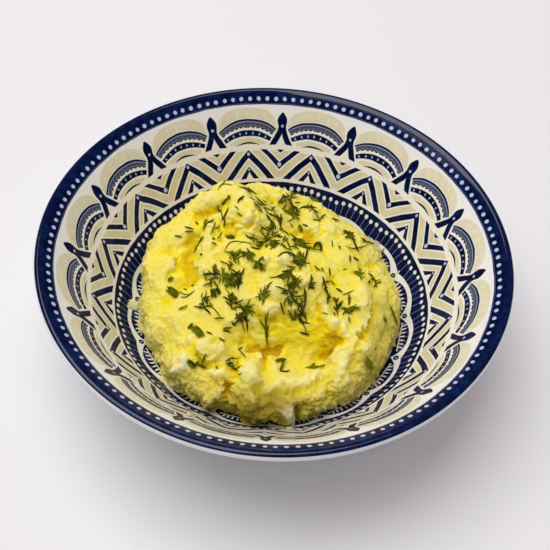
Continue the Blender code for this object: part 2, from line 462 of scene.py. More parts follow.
# %% Arches
def draw_arches(x, y):
    side = abs(x)
    outer = y - (side ** 2.0 * 0.018 + side ** 4.0 * 0.00003 + 16.7)
    fringe = ((side * 0.43 + 0.2).fraction() * 2.0 - 1.0) ** 2.0 * 0.9
    outer_end = side - (outer * -0.45 + 15.1)
    outer_leaf = both(both(-outer, outer + fringe - 4.7), outer_end)
    pale_line = abs(outer - 1.45) - 0.30
    scallop_line = abs(outer + fringe - 3.7) - 0.22
    inner = y - (side ** 2.0 * 0.024 + 22.5)
    inner_end = side - (inner * -0.45 + 13.0)
    inner_leaf = both(both(-inner, inner + side * 0.05 - 3.3), inner_end)
    from_dash, dash = nearest(x, 3.35, 0.5)
    dashes = oval(from_dash + dash * (inner - 1.5) * 0.05, inner - 1.55, 0.40, 0.70)
    small = both(-(y - (side ** 2.0 * 0.042 + 28.9)), y - (side ** 2.0 * 0.020 + 29.9))
    ink = inked(outer_leaf).most(inked(inner_leaf)).most(inked(small))
    wash = inked(abs(outer - 2.2) - 1.1) * 0.13
    wash = wash.most(inked(pale_line) * 0.5).most(inked(scallop_line) * 0.45).most(inked(both(dashes, side - 11.5)) * 0.8)
    dome = ((side / 15.0) ** 2.6 + ((-(y - 22.0)).most(0.0) / 11.2) ** 2.6) ** (1 / 2.6) - 1.0
    from_streak, streak = nearest(x, 4.6, 0.0)
    streaks = inked(both(abs(from_streak) - 0.28, abs(outer + 2.9) - 1.5)) * 0.55
    fan = without(inked(both(dome * 12.0, outer + 0.45)), streaks) * 0.75
    lap = inked(both(both(-inner + 4.2, y - 30.2), side - (inner * -0.3 + 11.0)))
    return ink, fan.most(lap * 0.8), wash


arch_band = band_group("arch band", draw_arches)

# %% [markdown]
# ### The finials
# A spearhead stands between two arches and splits into two legs. Its outline is not a simple formula,
# so its half width is read from a Float Curve, which is a graph of width against distance from the lip.

# %% Finials
FINIAL_TOP = 13.2
FINIAL_FOOT = 30.5
HALF_WIDTH_SCALE = 8.0
SPEAR = ((13.2, 0.2), (13.7, 0.75), (14.6, 1.3), (15.6, 1.85), (16.8, 2.3), (18.2, 2.4), (19.5, 2.2),
         (21.0, 2.0), (22.5, 2.2), (24.0, 2.75), (26.0, 3.8), (28.0, 4.95), (30.5, 6.3))
FORK = ((13.2, 0.0), (23.2, 0.0), (24.5, 0.35), (26.0, 0.8), (28.0, 1.75), (30.5, 3.2))


def width_curve(y, corners):
    """Reads a half width from a graph of its corners."""
    share = (y - FINIAL_TOP) / (FINIAL_FOOT - FINIAL_TOP)
    node = y.tree.nodes.new("ShaderNodeFloatCurve")
    curve = node.mapping.curves[0]
    while len(curve.points) < len(corners):
        curve.points.new(0.5, 0.5)
    for point, (run_at, half_width) in zip(curve.points, corners):
        point.location = ((run_at - FINIAL_TOP) / (FINIAL_FOOT - FINIAL_TOP), half_width / HALF_WIDTH_SCALE)
        point.handle_type = "VECTOR"
    node.mapping.update()
    y.tree.links.new(share.socket, node.inputs["Value"])
    return Number(y.tree, node.outputs[0]) * HALF_WIDTH_SCALE


def draw_finials(x, y):
    side = abs(x)
    spear = width_curve(y, SPEAR)
    fork = width_curve(y, FORK)
    ends = both(-(y - FINIAL_TOP), y - (side * 0.08 + 30.1))
    shape = both(both(side - spear, fork - side - 0.4) * 0.85, ends)
    halo = both(side - spear - 0.6, ends - 0.4)
    return inked(shape), inked(halo), inked(oval(x, y - 20.4, 0.66, 0.75)) * 0.9


finial_band = band_group("finial band", draw_finials)

# %% [markdown]
# ### The zigzag
# The wall's middle carries a zigzag in two rows: tall tents under the arches and hanging points under the
# finials, each with a diamond at its tip. Sand fills what is left, a millimetre clear of every stroke.

# %% Zigzag
ZIGZAG_TOP = 32.95
ZIGZAG_FOOT = 48.5


def stroke(outer, inner):
    """The stripe between two slanted edges, with its distance measured square to them."""
    return both(outer, inner) * 0.7


def draw_zigzag(x, y):
    side = abs(x)
    finial = -side + ACROSS / 2
    rows = both(-(y - ZIGZAG_TOP), y - ZIGZAG_FOOT)
    tent = stroke(side - (y - 33.0) * 1.02, (y - 37.35) * 1.01 - side)
    point = stroke(finial + (y - 43.5) * 1.07, (-(y - 39.6)) * 1.18 - finial)
    small_tent = stroke(side - (y - 41.9) * 0.9, (y - 44.7) * 0.58 - side)
    wedge = both(finial + (y - 34.8) * 1.15, -(y - ZIGZAG_TOP))
    strokes = both(tent.least(point).least(small_tent), rows).least(wedge)
    diamonds = oval(x, y - 35.3, 0.75, 0.9).least(oval(finial, y - 40.9, 1.15, 1.15)).least(oval(x, y - 43.6, 0.5, 0.6))
    ink = inked(strokes)
    foot = both(side - 3.0, -(y - 44.0))
    clear = (-(tent.least(point).least(small_tent).least(wedge))) + 0.75
    sand = without(inked(both(clear, both(-(y - 33.6), y - 47.6))), inked(foot))
    return ink, sand, inked(diamonds)


zigzag_band = band_group("zigzag band", draw_zigzag)

# %% [markdown]
# ### The pins and the scallops
# The well is ringed by a cobalt band of white pins, eight to a repeat. Its lower edge is a row of cream
# scallops that meet in small rings, and under each scallop lies a fan of short rays.

# %% Pins and scallops
PIN_SPACING = 4.5


def draw_pins(x, y):
    side = abs(x)
    scallop = (side / 17.0) ** 1.8 * 2.5 + 59.5
    band = both(-(y - 50.2), y - scallop)
    from_pin, pin = nearest(x, PIN_SPACING)
    high = (abs(pin) - 16.0).math("GREATER_THAN", 0.0)
    head = pin ** 2.0 * 0.0088 + 52.6 - high * 1.85
    lean = without(pin, high) * 0.0136
    heads = oval(from_pin, y - head, 1.25, 1.15)
    stem = both(abs(from_pin + lean * (y - head)) - 0.15, -(y - head))
    return without(inked(band), inked(heads) * 0.93), None, inked(stem) * 0.5


def draw_scallops(x, y):
    side = abs(x)
    lower = (side / 15.5) ** 2.2 * 4.4 + 61.8
    arc = side ** 2.0 * -0.004 + 66.7
    dome = both(-(y - lower), y - 68.7)
    from_ray, ray = nearest(x, 2.9, 0.4)
    rays = both(oval(from_ray + ray * (y - arc) * 0.06, y - arc + 1.3, 0.62, 1.5), side - 11.0)
    line = both(abs(y - arc) - 0.3, side - 12.5)
    ring = oval(-side + ACROSS / 2, y - 65.0, 1.95, 1.4)
    eye_spot = oval(-side + ACROSS / 2, y - 65.0, 0.6, 0.42)
    fan = without(inked(dome), inked(rays).most(inked(line)))
    circle = abs(y - 76.0) - 0.9
    return fan.most(without(inked(ring), inked(eye_spot) * 0.4)).most(inked(circle)), None, None


pin_band = band_group("pin band", draw_pins)
scallop_band = band_group("scallop band", draw_scallops)

# %% [markdown]
# ## The glaze
# Slip, paint and clear glaze are one surface. Cream slip covers the clay, then sand, then cobalt, which
# runs a little thick and thin. A hand never repeats itself, so the measures wander by a quarter of a
# millimetre. The clear glaze over it all is a coat with its own smooth waves. It is thickest on the lip,
# which shines most, and the foot is bare clay.

# %% A material to fill
def new_material(name):
    """An empty material with its shader, and its tree."""
    material = bpy.data.materials.new(name)
    material.use_nodes = True
    tree = material.node_tree
    return material, tree, tree.nodes["Principled BSDF"]


def cloud(tree, place, size, detail=2.0, roughness=0.5):
    """Noise with clouds of a size in metres, from 0 to 1."""
    node = tree.nodes.new("ShaderNodeTexNoise")
    node.inputs["Scale"].default_value = 1.0 / size
    node.inputs["Detail"].default_value = detail
    node.inputs["Roughness"].default_value = roughness
    tree.links.new(place, node.inputs["Vector"])
    return node


def blend_colours(tree, share, first, second):
    """Goes from one colour to another; each is a socket or a plain colour."""
    node = tree.nodes.new("ShaderNodeMix")
    node.data_type = "RGBA"
    tree.links.new(share, node.inputs[0])
    for slot, colour in ((node.inputs[6], first), (node.inputs[7], second)):
        if isinstance(colour, tuple):
            slot.default_value = (*colour, 1.0)
        else:
            tree.links.new(colour, slot)
    return node.outputs[2]


def use_band(tree, group, across, run_along):
    """Places a band's group in a tree and returns its masks."""
    node = tree.nodes.new("ShaderNodeGroup")
    node.node_tree = group
    tree.links.new(across.socket, node.inputs["across"])
    tree.links.new(run_along.socket, node.inputs["run"])
    return [Number(tree, node.outputs[label]) for label in MASKS]


# %% Paint and glaze
CREAM = (0.895, 0.88, 0.80)
PLAIN_WHITE = (0.80, 0.82, 0.87)
SAND = (0.69, 0.64, 0.38)
COBALT = (0.001, 0.005, 0.042)
THIN_COBALT = (0.004, 0.024, 0.120)
PALE_BLUE = (0.50, 0.58, 0.78)
BARE_CLAY = (0.55, 0.47, 0.38)
PAINT_OVER_LIP = 0.8  # how far the paint goes on outside, in mm
FIRST_FINIAL = math.radians(1.3)

glaze, glaze_tree, glaze_shader = new_material("painted glaze")
place = glaze_tree.nodes.new("ShaderNodeTexCoord").outputs["Object"]
axes = glaze_tree.nodes.new("ShaderNodeSeparateXYZ")
glaze_tree.links.new(place, axes.inputs[0])
east, north, height = (Number(glaze_tree, axes.outputs[i]) for i in range(3))
run_node = glaze_tree.nodes.new("ShaderNodeAttribute")
run_node.attribute_name = "run"
wander = glaze_tree.nodes.new("ShaderNodeSeparateColor")
glaze_tree.links.new(cloud(glaze_tree, place, 9 * MM).outputs["Color"], wander.inputs[0])
hand_across, hand_run = (Number(glaze_tree, wander.outputs[i]) - 0.5 for i in (0, 1))
painted_run = Number(glaze_tree, run_node.outputs["Fac"]) + hand_run * 0.9
turns = north.math("ARCTAN2", east) * (REPEATS / (2 * math.pi)) + (REPEATS - FIRST_FINIAL * REPEATS / (2 * math.pi))
arch_across = (turns.fraction() - 0.5) * ACROSS + hand_across * 1.3
finial_across = ((turns + 0.5).fraction() - 0.5) * ACROSS + hand_across * 1.3
print("cobalt, sand and cream ready")

# %% Lay the bands on each other
rim_ink, _, rim_wash = use_band(glaze_tree, rim_band, arch_across, painted_run)
arch_ink, arch_sand, arch_wash = use_band(glaze_tree, arch_band, arch_across, painted_run)
finial_ink, finial_halo, finial_wash = use_band(glaze_tree, finial_band, finial_across, painted_run)
zigzag_ink, zigzag_sand, zigzag_wash = use_band(glaze_tree, zigzag_band, arch_across, painted_run)
pin_ink, _, pin_wash = use_band(glaze_tree, pin_band, arch_across, painted_run)
scallop_ink, _, _ = use_band(glaze_tree, scallop_band, arch_across, painted_run)
in_arches = inked(painted_run - 31.5) * inked(-(painted_run - 9.5))
ink = without(arch_ink, finial_halo).most(finial_ink) * in_arches
ink = ink.most(rim_ink).most(zigzag_ink).most(pin_ink).most(scallop_ink)
wash = without(arch_wash, finial_halo).most(finial_wash) * in_arches
wash = wash.most(rim_wash).most(zigzag_wash).most(pin_wash)
from_lip = Number(glaze_tree, run_node.outputs["Fac"])
inside_bowl = inked(-(from_lip + PAINT_OVER_LIP))
ink = ink * inside_bowl
sand = without(arch_sand, finial_halo) * in_arches
sand = sand.most(zigzag_sand) * inside_bowl
thickness = Number(glaze_tree, cloud(glaze_tree, place, 5 * MM, 3.0, 0.6).outputs["Fac"])
below_rim = from_lip * 0.25 - 2.3
below_rim.socket.node.use_clamp = True
slip = blend_colours(glaze_tree, below_rim.socket, PLAIN_WHITE, CREAM)
sand_strength = sand * (thickness * 0.9 + 0.45)
sand_strength.socket.node.use_clamp = True
slip = blend_colours(glaze_tree, sand_strength.socket, slip, SAND)
thin = (thickness - 0.45) * 3.0
thin.socket.node.use_clamp = True
cobalt = blend_colours(glaze_tree, thin.socket, COBALT, THIN_COBALT)
cobalt = blend_colours(glaze_tree, wash.socket, cobalt, PALE_BLUE)
painted = blend_colours(glaze_tree, ink.socket, slip, cobalt)
bare = both(height - 1.2 * MM, -(height + 1.0)) * (1.0 / MM)
bare_share = inked(bare)
colour = blend_colours(glaze_tree, bare_share.socket, painted, BARE_CLAY)
glaze_tree.links.new(colour, glaze_shader.inputs["Base Color"])
glaze_roughness = bare_share * 0.6 + 0.16
glaze_tree.links.new(glaze_roughness.socket, glaze_shader.inputs["Roughness"])
glaze_shader.inputs["Specular IOR Level"].default_value = 0.06
pooled = inked(from_lip - 3.5) * 0.75 + 0.12
glaze_tree.links.new(pooled.socket, glaze_shader.inputs["Coat Weight"])
glaze_shader.inputs["Coat Roughness"].default_value = 0.04
waves = glaze_tree.nodes.new("ShaderNodeBump")
waves.inputs["Strength"].default_value = 0.25
waves.inputs["Distance"].default_value = 0.3 * MM
glaze_tree.links.new(cloud(glaze_tree, place, 22 * MM, 1.0).outputs["Fac"], waves.inputs["Height"])
glaze_tree.links.new(waves.outputs[0], glaze_shader.inputs["Normal"])
bowl_mesh.materials.append(glaze)
print("glaze uses", len(glaze_tree.nodes), "nodes")
# %% [markdown]
# ## The heap of mash
# Real mash is a paste with curds in it. A spoon leaves long smooth strokes and sharp folds, and where the
# paste broke off it is crumbly. The solid has the big forms but its facets are millimetres wide, so it is
# copied, cut into small cubes by a voxel remesh, and smoothed once.

# %% A fine skin over the solid
SKIN_VOXEL = 0.60 * MM
SKIN_SMOOTHING = 12

heap_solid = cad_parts["mashed_potato"]
heap = bpy.data.objects.new("mash", heap_solid.data.copy())
bpy.context.scene.collection.objects.link(heap)


def keep_modified(piece):
    """Turn what the piece's modifiers show into its own mesh."""
    mesh = bpy.data.meshes.new_from_object(piece.evaluated_get(bpy.context.evaluated_depsgraph_get()))
    piece.modifiers.clear()
    piece.data = mesh
    return mesh


skin = heap.modifiers.new("skin", "REMESH")
skin.mode = "VOXEL"
skin.voxel_size = SKIN_VOXEL
soften = heap.modifiers.new("soften", "SMOOTH")
soften.factor = 0.5
soften.iterations = SKIN_SMOOTHING
heap_mesh = keep_modified(heap)
print("skin:", len(heap_mesh.vertices), "points")


# %% [markdown]
# ## Reading and moving many points at once
# A mesh of a hundred thousand points is too slow to move one by one in Python. Its places and normals are
# read into numpy arrays, moved there, and written back in one go.

# %% Points as arrays
def read_points(mesh, kind):
    """The places ('co') or the normals ('normal') of a mesh's points, in rows of three."""
    flat = np.empty(len(mesh.vertices) * 3, dtype=np.float32)
    if kind == "co":
        mesh.vertices.foreach_get("co", flat)
    else:
        mesh.vertex_normals.foreach_get("vector", flat)
    return flat.reshape(-1, 3).astype(np.float64)


def write_points(mesh, points):
    mesh.vertices.foreach_set("co", points.astype(np.float32).ravel())
    mesh.update()


def smooth_step(value, low, high):
    """0 below low, 1 above high, and a smooth slope between."""
    share = np.clip((value - low) / (high - low), 0.0, 1.0)
    return share * share * (3.0 - 2.0 * share)


def edges_of(mesh):
    pairs = np.empty(len(mesh.edges) * 2, dtype=np.int64)
    mesh.edges.foreach_get("vertices", pairs)
    return pairs.reshape(-1, 2)


def relaxed(values, pairs, rounds):
    """Values after each point has taken its neighbours' mean a few times."""
    values = values.reshape(len(values), -1).copy()
    count = np.bincount(pairs.ravel(), minlength=len(values))[:, None]
    for _ in range(rounds):
        total = np.empty_like(values)
        for column in range(values.shape[1]):
            near = np.bincount(pairs[:, 0], values[pairs[:, 1], column], len(values))
            total[:, column] = near + np.bincount(pairs[:, 1], values[pairs[:, 0], column], len(values))
        values = 0.5 * values + 0.5 * total / count
    return values


def off_the_bowl(points):
    """How far each point lies above the inside of the bowl."""
    return points[:, 2] - inside_height(np.hypot(points[:, 0], points[:, 1]))


# %% [markdown]
# The underside lies on the bowl and is never seen, so it is thinned to a tenth of its facets. That leaves
# more of them for the top.

# %% A plain underside
UNDERSIDE_LIMIT = 0.5 * MM
SKIN_SHARE = 0.735

under = heap.vertex_groups.new(name="underside")
under.add(np.flatnonzero(off_the_bowl(read_points(heap_mesh, "co")) < UNDERSIDE_LIMIT).tolist(), 1.0, "ADD")
thin = heap.modifiers.new("thin", "DECIMATE")
thin.ratio = SKIN_SHARE
thin.vertex_group = under.name
thin.vertex_group_factor = 1000.0
heap_mesh = keep_modified(heap)
heap.vertex_groups.clear()
heap_mesh.name = "mash"
skin_points = read_points(heap_mesh, "co")
skin_normals = read_points(heap_mesh, "normal")
free = smooth_step(off_the_bowl(skin_points), 1.2 * MM, 4.0 * MM)
print("thinned to", len(skin_points), "points,", int((free > 0.5).sum()), "of them free of the bowl")

# %% [markdown]
# ## Spoon strokes and lumps
# The named marks follow the real portion: where the spoon pressed, and where a lump or a tuft stands up.
# Each is an oval patch, given in millimetres as place, half length, half width, turn in degrees and
# height. The heights are small, because the solid already has the big forms.

# %% Marks of the spoon
MARKS = (
    (12, -30, 18, 8, -6, -2.4),  # the dish that the spoon pressed in front
    (6, -26, 8, 4, 0, -1.2),
    (-1, -37, 9, 3, 0, -3.2),  # the dark pit at its left end
    (-9, -34.5, 6, 3, -25, -1.8),
    (30, -32, 4, 3, 30, -2.6),  # and its right corner
    (33, -24, 6, 5, -50, 2.4),  # the pale lobe right of the dish
    (33, -38, 5, 5, 20, 2.4),  # the lobe in front of it
    (23, -47, 6, 3.5, 40, 1.6),
    (12, -54, 9, 3.5, 14, 2.2),
    (1, -56, 6, 3.5, 0, 1.6),
    (-15, -49, 2.5, 6, -10, -2.2),  # the crease beside it
    (-25, -43, 7, 4, -10, 1.8),  # the lump left of the pit
    (-21, -53, 6, 3, -12, 2.2),
    (-17, -59, 4, 2.0, -60, -3.0),
    (-38, -24, 12, 9, -40, 1.0),  # the smooth left shoulder
    (-38, -49, 3.5, 3, 0, 2.0),
    (-37, -38, 3.5, 3, 0, 1.6),
    (-50, -40, 2.5, 6, 10, -2.0),
    (-42, 8, 4.5, 8, -8, -1.6),  # the buttery hollow on the left
    (-41, 14, 4, 7, -10, -1.2),
    (-38, 24, 4, 5, 0, -1.6),
    (-42, -4, 3.6, 4, 10, 0.9),
    (-49, -4, 2, 4, -20, -2.4),
    (-55, 4, 5, 8, 0, -0.8),
    (-36, 37, 9, 4, 5, 1.0),  # the lobe behind it
    (-25, 49, 4, 3, 0, 1.0),
    (-17, 36, 8, 6, 30, 1.2),
    (-15, 22, 4, 3.5, 0, 2.4),  # lumps and dents over the crown
    (-24, 17, 4, 4, 20, -1.8),
    (-6, 42, 6, 4, 0, -1.8),
    (7, 44, 6, 4, -20, -3.2),
    (14, 26, 5, 4, -40, -2.6),
    (21, 19, 4, 4, 0, -1.4),
    (5, 3, 6, 2.8, 0, 2.0),
    (-6, 0, 6, 2.5, -5, 1.6),
    (25, 32, 5, 6, 0, 1.8),
    (38, 27, 6, 4, -20, 1.4),
    (20, 4, 6, 4, -20, -1.4),
    (27, -1, 3, 4, 30, -1.8),
    (13, -7, 5, 4, 0, 1.8),
    (1, -18, 6, 3.5, 0, 0.6),
    (46, 12, 4, 5, 0, -1.2),
    (43, -8, 4, 10, 0, 1.4),
    (44, -33, 3.5, 3, 0, 1.8),
    (53, -35, 4, 5, 0, 1.2),
    (11, -67, 2.5, 5, 0, 2.0),
    (-6, -65, 4, 3.5, 0, 2.2),  # lumps that stand out of the front
    (-15, -66, 3, 3, 0, 1.6),
    (-23, -62, 4, 3, 20, 1.5),
)


def patch_share(points, patch):
    """1 in the middle of an oval patch and 0 away from it."""
    x, y, half_length, half_width, turn = patch
    angle = math.radians(turn)
    east, north = points[:, 0] / MM - x, points[:, 1] / MM - y
    along = (east * math.cos(angle) + north * math.sin(angle)) / half_length
    across = (north * math.cos(angle) - east * math.sin(angle)) / half_width
    return np.exp(-(along ** 2 + across ** 2) ** 1.6)


def patch_sum(points, patches):
    """The sum of many patches, each with its own strength in the last place."""
    return sum(patch_share(points, patch[:5]) * patch[5] for patch in patches)


def patch_cover(points, patches):
    """The strongest of many patches at each point, each with its own strength in the last place."""
    return np.max([patch_share(points, patch[:5]) * patch[5] for patch in patches], axis=0)


print(len(MARKS), "marks")

# %% [markdown]
# ## Folds
# A fold is a step along a crooked line: the paste stands up on the left of the line's direction, drops
# sharply at the line, and comes back to its level over a few millimetres. A little noise in the distance
# from the line makes the edge ragged.

# %% Folds
FOLDS = (  # height in mm, width of the lip in mm, width of the hollow in mm, and the line's points
    (2.2, 4.0, 4.0, ((-33, 26), (-36, 19), (-38, 13), (-39.5, 7), (-38.5, 2), (-35, -3), (-35, -9), (-39, -13))),
    (1.8, 5.0, 3.5, ((-44, 33), (-38, 32), (-33, 32.5), (-29, 34), (-28, 38))),
    (1.8, 4.0, 3.0, ((-47, -3), (-47.5, 5), (-52, 9), (-60, 10))),
    (1.6, 4.0, 3.0, ((-30, 27), (-27, 21), (-27, 14), (-21, 12))),
    (1.6, 5.0, 3.0, ((-12, 31), (-10, 24), (-14, 17), (-20, 18))),
    (2.6, 4.5, 4.0, ((-6, -60), (2, -60.5), (10, -58.5), (18, -56), (24, -51), (30, -46), (36, -43))),
    (3.0, 4.5, 4.5, ((36, -43), (39.5, -38), (41, -33), (40.5, -29), (44, -24), (46.5, -15), (46.5, -5), (45, 4))),
    (2.2, 5.0, 4.0, ((20, -10), (24, -18), (27, -25), (33, -30.5))),
    (2.2, 4.0, 3.5, ((36, -32), (31, -34.5), (28, -38), (25, -42))),
    (3.0, 3.0, 3.0, ((-2, -50), (-1, -44), (-2, -38.5))),
    (1.6, 3.0, 2.5, ((-8, -38), (-11, -44), (-12.5, -52), (-10, -58))),
    (2.0, 3.5, 3.0, ((-30, -38), (-33, -42), (-29, -46.5), (-24, -48.5), (-18, -47))),
    (2.0, 3.5, 3.0, ((-28, -52), (-22, -56), (-15, -54.5))),
    (1.6, 3.0, 3.0, ((-6, -22), (-5, -25), (0, -25.5), (4, -24))),
    (1.4, 4.0, 3.0, ((13, 0), (5, -1), (-3, 2))),
    (1.6, 4.0, 3.0, ((22, 24), (20, 30), (20, 38))),
    (1.6, 4.0, 3.0, ((12, 40), (3, 38), (-8, 37))),
    (1.8, 4.0, 3.0, ((56, 20), (49, 17), (44, 12), (43, 4))),
    (1.6, 3.0, 2.5, ((-36, -52), (-41, -49), (-41, -44))),
    (2.0, 3.5, 2.5, ((-30, -61), (-24, -64), (-18, -62))),
    (2.4, 3.0, 2.5, ((-12, -63), (-10, -69), (-3, -69), (-1, -63))),
    (1.8, 3.5, 2.5, ((15, -61), (24, -60), (31, -55), (38, -51))),
)
WARP_SIZE = 5.5 * MM
WARP = 3.4 * MM
RAGGED_SIZE = 2.6 * MM
RAGGED = 1.5 * MM
LIP = 0.55  # the part of a fold's height that stands above its surroundings


def from_line(points, line):
    """Signed distance from a crooked line, positive on its right, and 0 to 1 for how far inside its ends."""
    flat = points[:, :2]
    best = np.full(len(flat), 1.0e9)
    signed = np.full(len(flat), 1.0e9)
    inside = np.zeros(len(flat))
    length = sum(math.dist(a, b) for a, b in zip(line, line[1:])) * MM
    gone = 0.0
    for start, end in zip(line, line[1:]):
        start, end = np.array(start) * MM, np.array(end) * MM
        step = end - start
        reach = float(np.hypot(*step))
        east, north = flat[:, 0] - start[0], flat[:, 1] - start[1]
        share = np.clip((east * step[0] + north * step[1]) / reach ** 2, 0.0, 1.0)
        gap = np.hypot(east - share * step[0], north - share * step[1])
        side = np.sign(east * step[1] - north * step[0])
        nearer = gap < best
        best = np.where(nearer, gap, best)
        signed = np.where(nearer, gap * side, signed)
        inside = np.where(nearer, np.minimum(gone + share * reach, length - gone - share * reach), inside)
        gone += reach
    return signed, smooth_step(inside, 0.0, 0.3 * length)


def fold_relief(points, ragged):
    """The height that the folds give, and how deep each point lies in one of their hollows."""
    total = np.zeros(len(points))
    hollow = np.zeros(len(points))
    for height, lip, low, line in FOLDS:
        distance, inside = from_line(points, line)
        distance = distance + ragged
        over = smooth_step(-distance, -0.6 * MM, 0.5 * MM)
        high_side = LIP * np.exp(-(distance / (lip * MM)) ** 2)
        low_side = (LIP - 1.0) * np.exp(-(distance / (low * MM)) ** 2)
        total += height * MM * inside * (over * high_side + (1.0 - over) * low_side)
        hollow = np.maximum(hollow, inside * (1.0 - over) * np.exp(-(distance / (0.55 * low * MM)) ** 2))
    return total, hollow


print(len(FOLDS), "folds")

# %% [markdown]
# ## Curds, crumbs and strokes
# Billowed noise, which is the size of ordinary noise with its sign dropped, gives round curds with sharp
# creases between them, and upside down it gives sharp ridges with soft valleys, as in paste that was
# pulled. Bending its coordinates by a slower noise keeps them from looking like a pattern. Where the paste was torn it broke into blocks, each with a level of its own: those come from
# the cells of Voronoi noise. Where it was smoothed the spoon left fine streaks around the heap.

# %% Curds and crumbs
CURDS = (  # size in mm, height in mm (below zero: ridges), how much is left where the spoon smoothed
    (15.0, 1.10, 0.7),
    (8.0, -0.70, 0.5),
    (3.6, -0.30, 0.4),
    (2.3, 0.28, 0.15),
)
BLOCKS = ((9.5, 1.45, 0.5), (4.2, 0.6, 0.4))  # size in mm, height in mm, depth of the creases
STREAK = (16.0, 1.5, 0.32)  # length, width and height in mm
GRAIN = (2.1, 0.46)  # size in mm, height in mm
SHARP_MARKS = (  # marks that keep their outline, given as the ones above
    (16.3, -68.5, 1.6, 3.6, 2, -6.0),  # the gap in the front of the heap
    (12.6, -68, 3.0, 3.5, 0, 1.0),
    (-3.8, -40, 2.2, 3.4, -14, 3.2),  # the tuft
    (-6, -46, 2.8, 5, -10, 3.2),
    (-8, -52.5, 3.8, 4.5, 0, 2.4),
    (-1, -22.5, 4.6, 2.3, 8, 1.8),  # thin flakes that stand up
    (2.5, -14, 4.5, 1.6, 5, 1.2),
    (4, 0.5, 6, 1.8, -8, 1.2),
    (-5, 1.5, 3, 2, 0, 1.0),
    (-14, 25, 3, 3, 0, 1.2),
    (-14, 33, 3, 2.4, -20, 1.2),
)
BEND_SIZE = 9.0 * MM
BEND = 3.2 * MM
SMOOTHED = (  # where the spoon smoothed the paste: x, y, half length, half width, turn, strength
    (12, -34, 24, 11, -4, 1.0),
    (-36, -20, 18, 13, -30, 1.0),
    (-42, 2, 10, 16, 0, 1.0),
    (-52, 26, 10, 12, 40, 1.0),
    (44, -4, 10, 24, 0, 1.0),
    (20, 10, 16, 14, 0, 1.0),
)
TORN = (  # where it was torn
    (5, -68, 48, 9, 0, 0.6),
    (-24, -54, 22, 8, -14, 1.0),
    (-44, -48, 14, 8, -40, 0.6),
    (30, -56, 20, 7, 35, 1.0),
    (0, 60, 50, 8, 0, 1.0),
    (-52, 44, 20, 8, 40, 0.75),
    (52, 40, 20, 7, -50, 1.0),
    (-66, -5, 7, 30, 0, 0.65),
    (64, 2, 8, 30, 0, 0.6),
)


def noise_at(places, size, octaves, shift):
    """Fractal noise of about -1 to 1 at each place."""
    return np.array([noise.fractal(place / size + shift, 0.7, 2.0, octaves) for place in places])


def billow_at(places, size, shift):
    return np.array([abs(noise.noise(place / size + shift)) for place in places]) * 2.4 - 0.55


def block_at(places, size, shift, crease_depth):
    """Blocks with a level each and a crease around each of them."""
    levels = []
    for place in places:
        distances, middles = noise.voronoi(place / size + shift)
        level = math.modf(abs(math.sin(middles[0].dot(Vector((12.7, 78.2, 37.7)))) * 951.3))[0]
        crease = min(1.0, (distances[1] - distances[0]) / 0.22)
        levels.append(level - 0.5 - 0.5 * crease_depth * (1.0 - crease) ** 2)
    return np.array(levels)


places = [Vector(point) for point in skin_points]
ragged = RAGGED * noise_at(places, RAGGED_SIZE, 3, Vector((3.1, 5.7, 1.3)))
bent = [place + BEND * noise.noise_vector(place / BEND_SIZE) for place in places]
torn = np.clip(patch_cover(skin_points, TORN) + 0.12, 0.0, 1.0)
calm = patch_cover(skin_points, SMOOTHED) * (1.0 - torn)
curds = np.zeros(len(skin_points))
for number, (size, height, left) in enumerate(CURDS):
    layer = billow_at(bent, size * MM, Vector((7.3, 1.9, 4.1)) * (number + 1))
    curds += layer * height * MM * (1.0 - (1.0 - left) * calm)
frayed = [place + Vector((shift, -shift, shift)) for place, shift in zip(bent, 0.55 * ragged)]
blocks = np.zeros(len(skin_points))
for number, (size, height, depth) in enumerate(BLOCKS):
    blocks += block_at(frayed, size * MM, Vector((2.3, 8.9, 6.1)) * (number + 1), depth) * height * torn
curds += blocks * MM
around = np.arctan2(skin_points[:, 1], skin_points[:, 0])
radius = np.hypot(skin_points[:, 0], skin_points[:, 1])
combed = [Vector((a * r / (STREAK[0] * MM), r / (STREAK[1] * MM), p[2] / (STREAK[1] * MM)))
          for a, r, p in zip(around, radius, bent)]
curds += noise_at(combed, 1.0, 2, Vector((0.5, 0.5, 0.5))) * STREAK[2] * MM * (0.25 + 0.75 * calm)
steep = smooth_step(1.0 - skin_normals[:, 2], 0.3, 0.8)
grainy = 0.45 + 0.4 * torn + 0.9 * steep
curds += noise_at(places, GRAIN[0] * MM, 4, Vector((9.0, 2.0, 5.0))) * GRAIN[1] * MM * grainy
fold_height, fold_hollow = fold_relief(skin_points, ragged)
warped = np.array([place + WARP * noise.noise_vector(place / WARP_SIZE) for place in places])
warped[:, :2] += 0.8 * ragged[:, None]
relief = patch_sum(warped, MARKS) * MM + fold_height + curds
relief += patch_sum(skin_points + 0.35 * (warped - skin_points), SHARP_MARKS) * MM
moved = skin_points + skin_normals * (relief * free)[:, None]

# %% [markdown]
# Where the mash meets the bowl its edge is ragged: some of it is pushed out over the glaze and some of
# it is scraped back. The edge slides along the inside of the bowl, in or out by up to two millimetres.

# %% Ragged edge
EDGE_SIZE = 5.0 * MM
EDGE_REACH = 2.4 * MM

radius = np.hypot(moved[:, 0], moved[:, 1])
edge_share = 1.0 - smooth_step(off_the_bowl(moved), 2.0 * MM, 7.0 * MM)
edge_share *= smooth_step(radius, 35.0 * MM, 48.0 * MM)
slide = EDGE_REACH * noise_at(places, EDGE_SIZE, 4, Vector((1.7, 6.3, 2.9))) * edge_share
height_before = inside_height(radius)
moved[:, :2] *= (1.0 + slide / np.maximum(radius, 1.0 * MM))[:, None]
moved[:, 2] += inside_height(radius + slide) - height_before
write_points(heap_mesh, moved)
heap_mesh.shade_smooth()
print("relief from", round(float(relief.min()) / MM, 2), "to", round(float(relief.max()) / MM, 2), "mm")

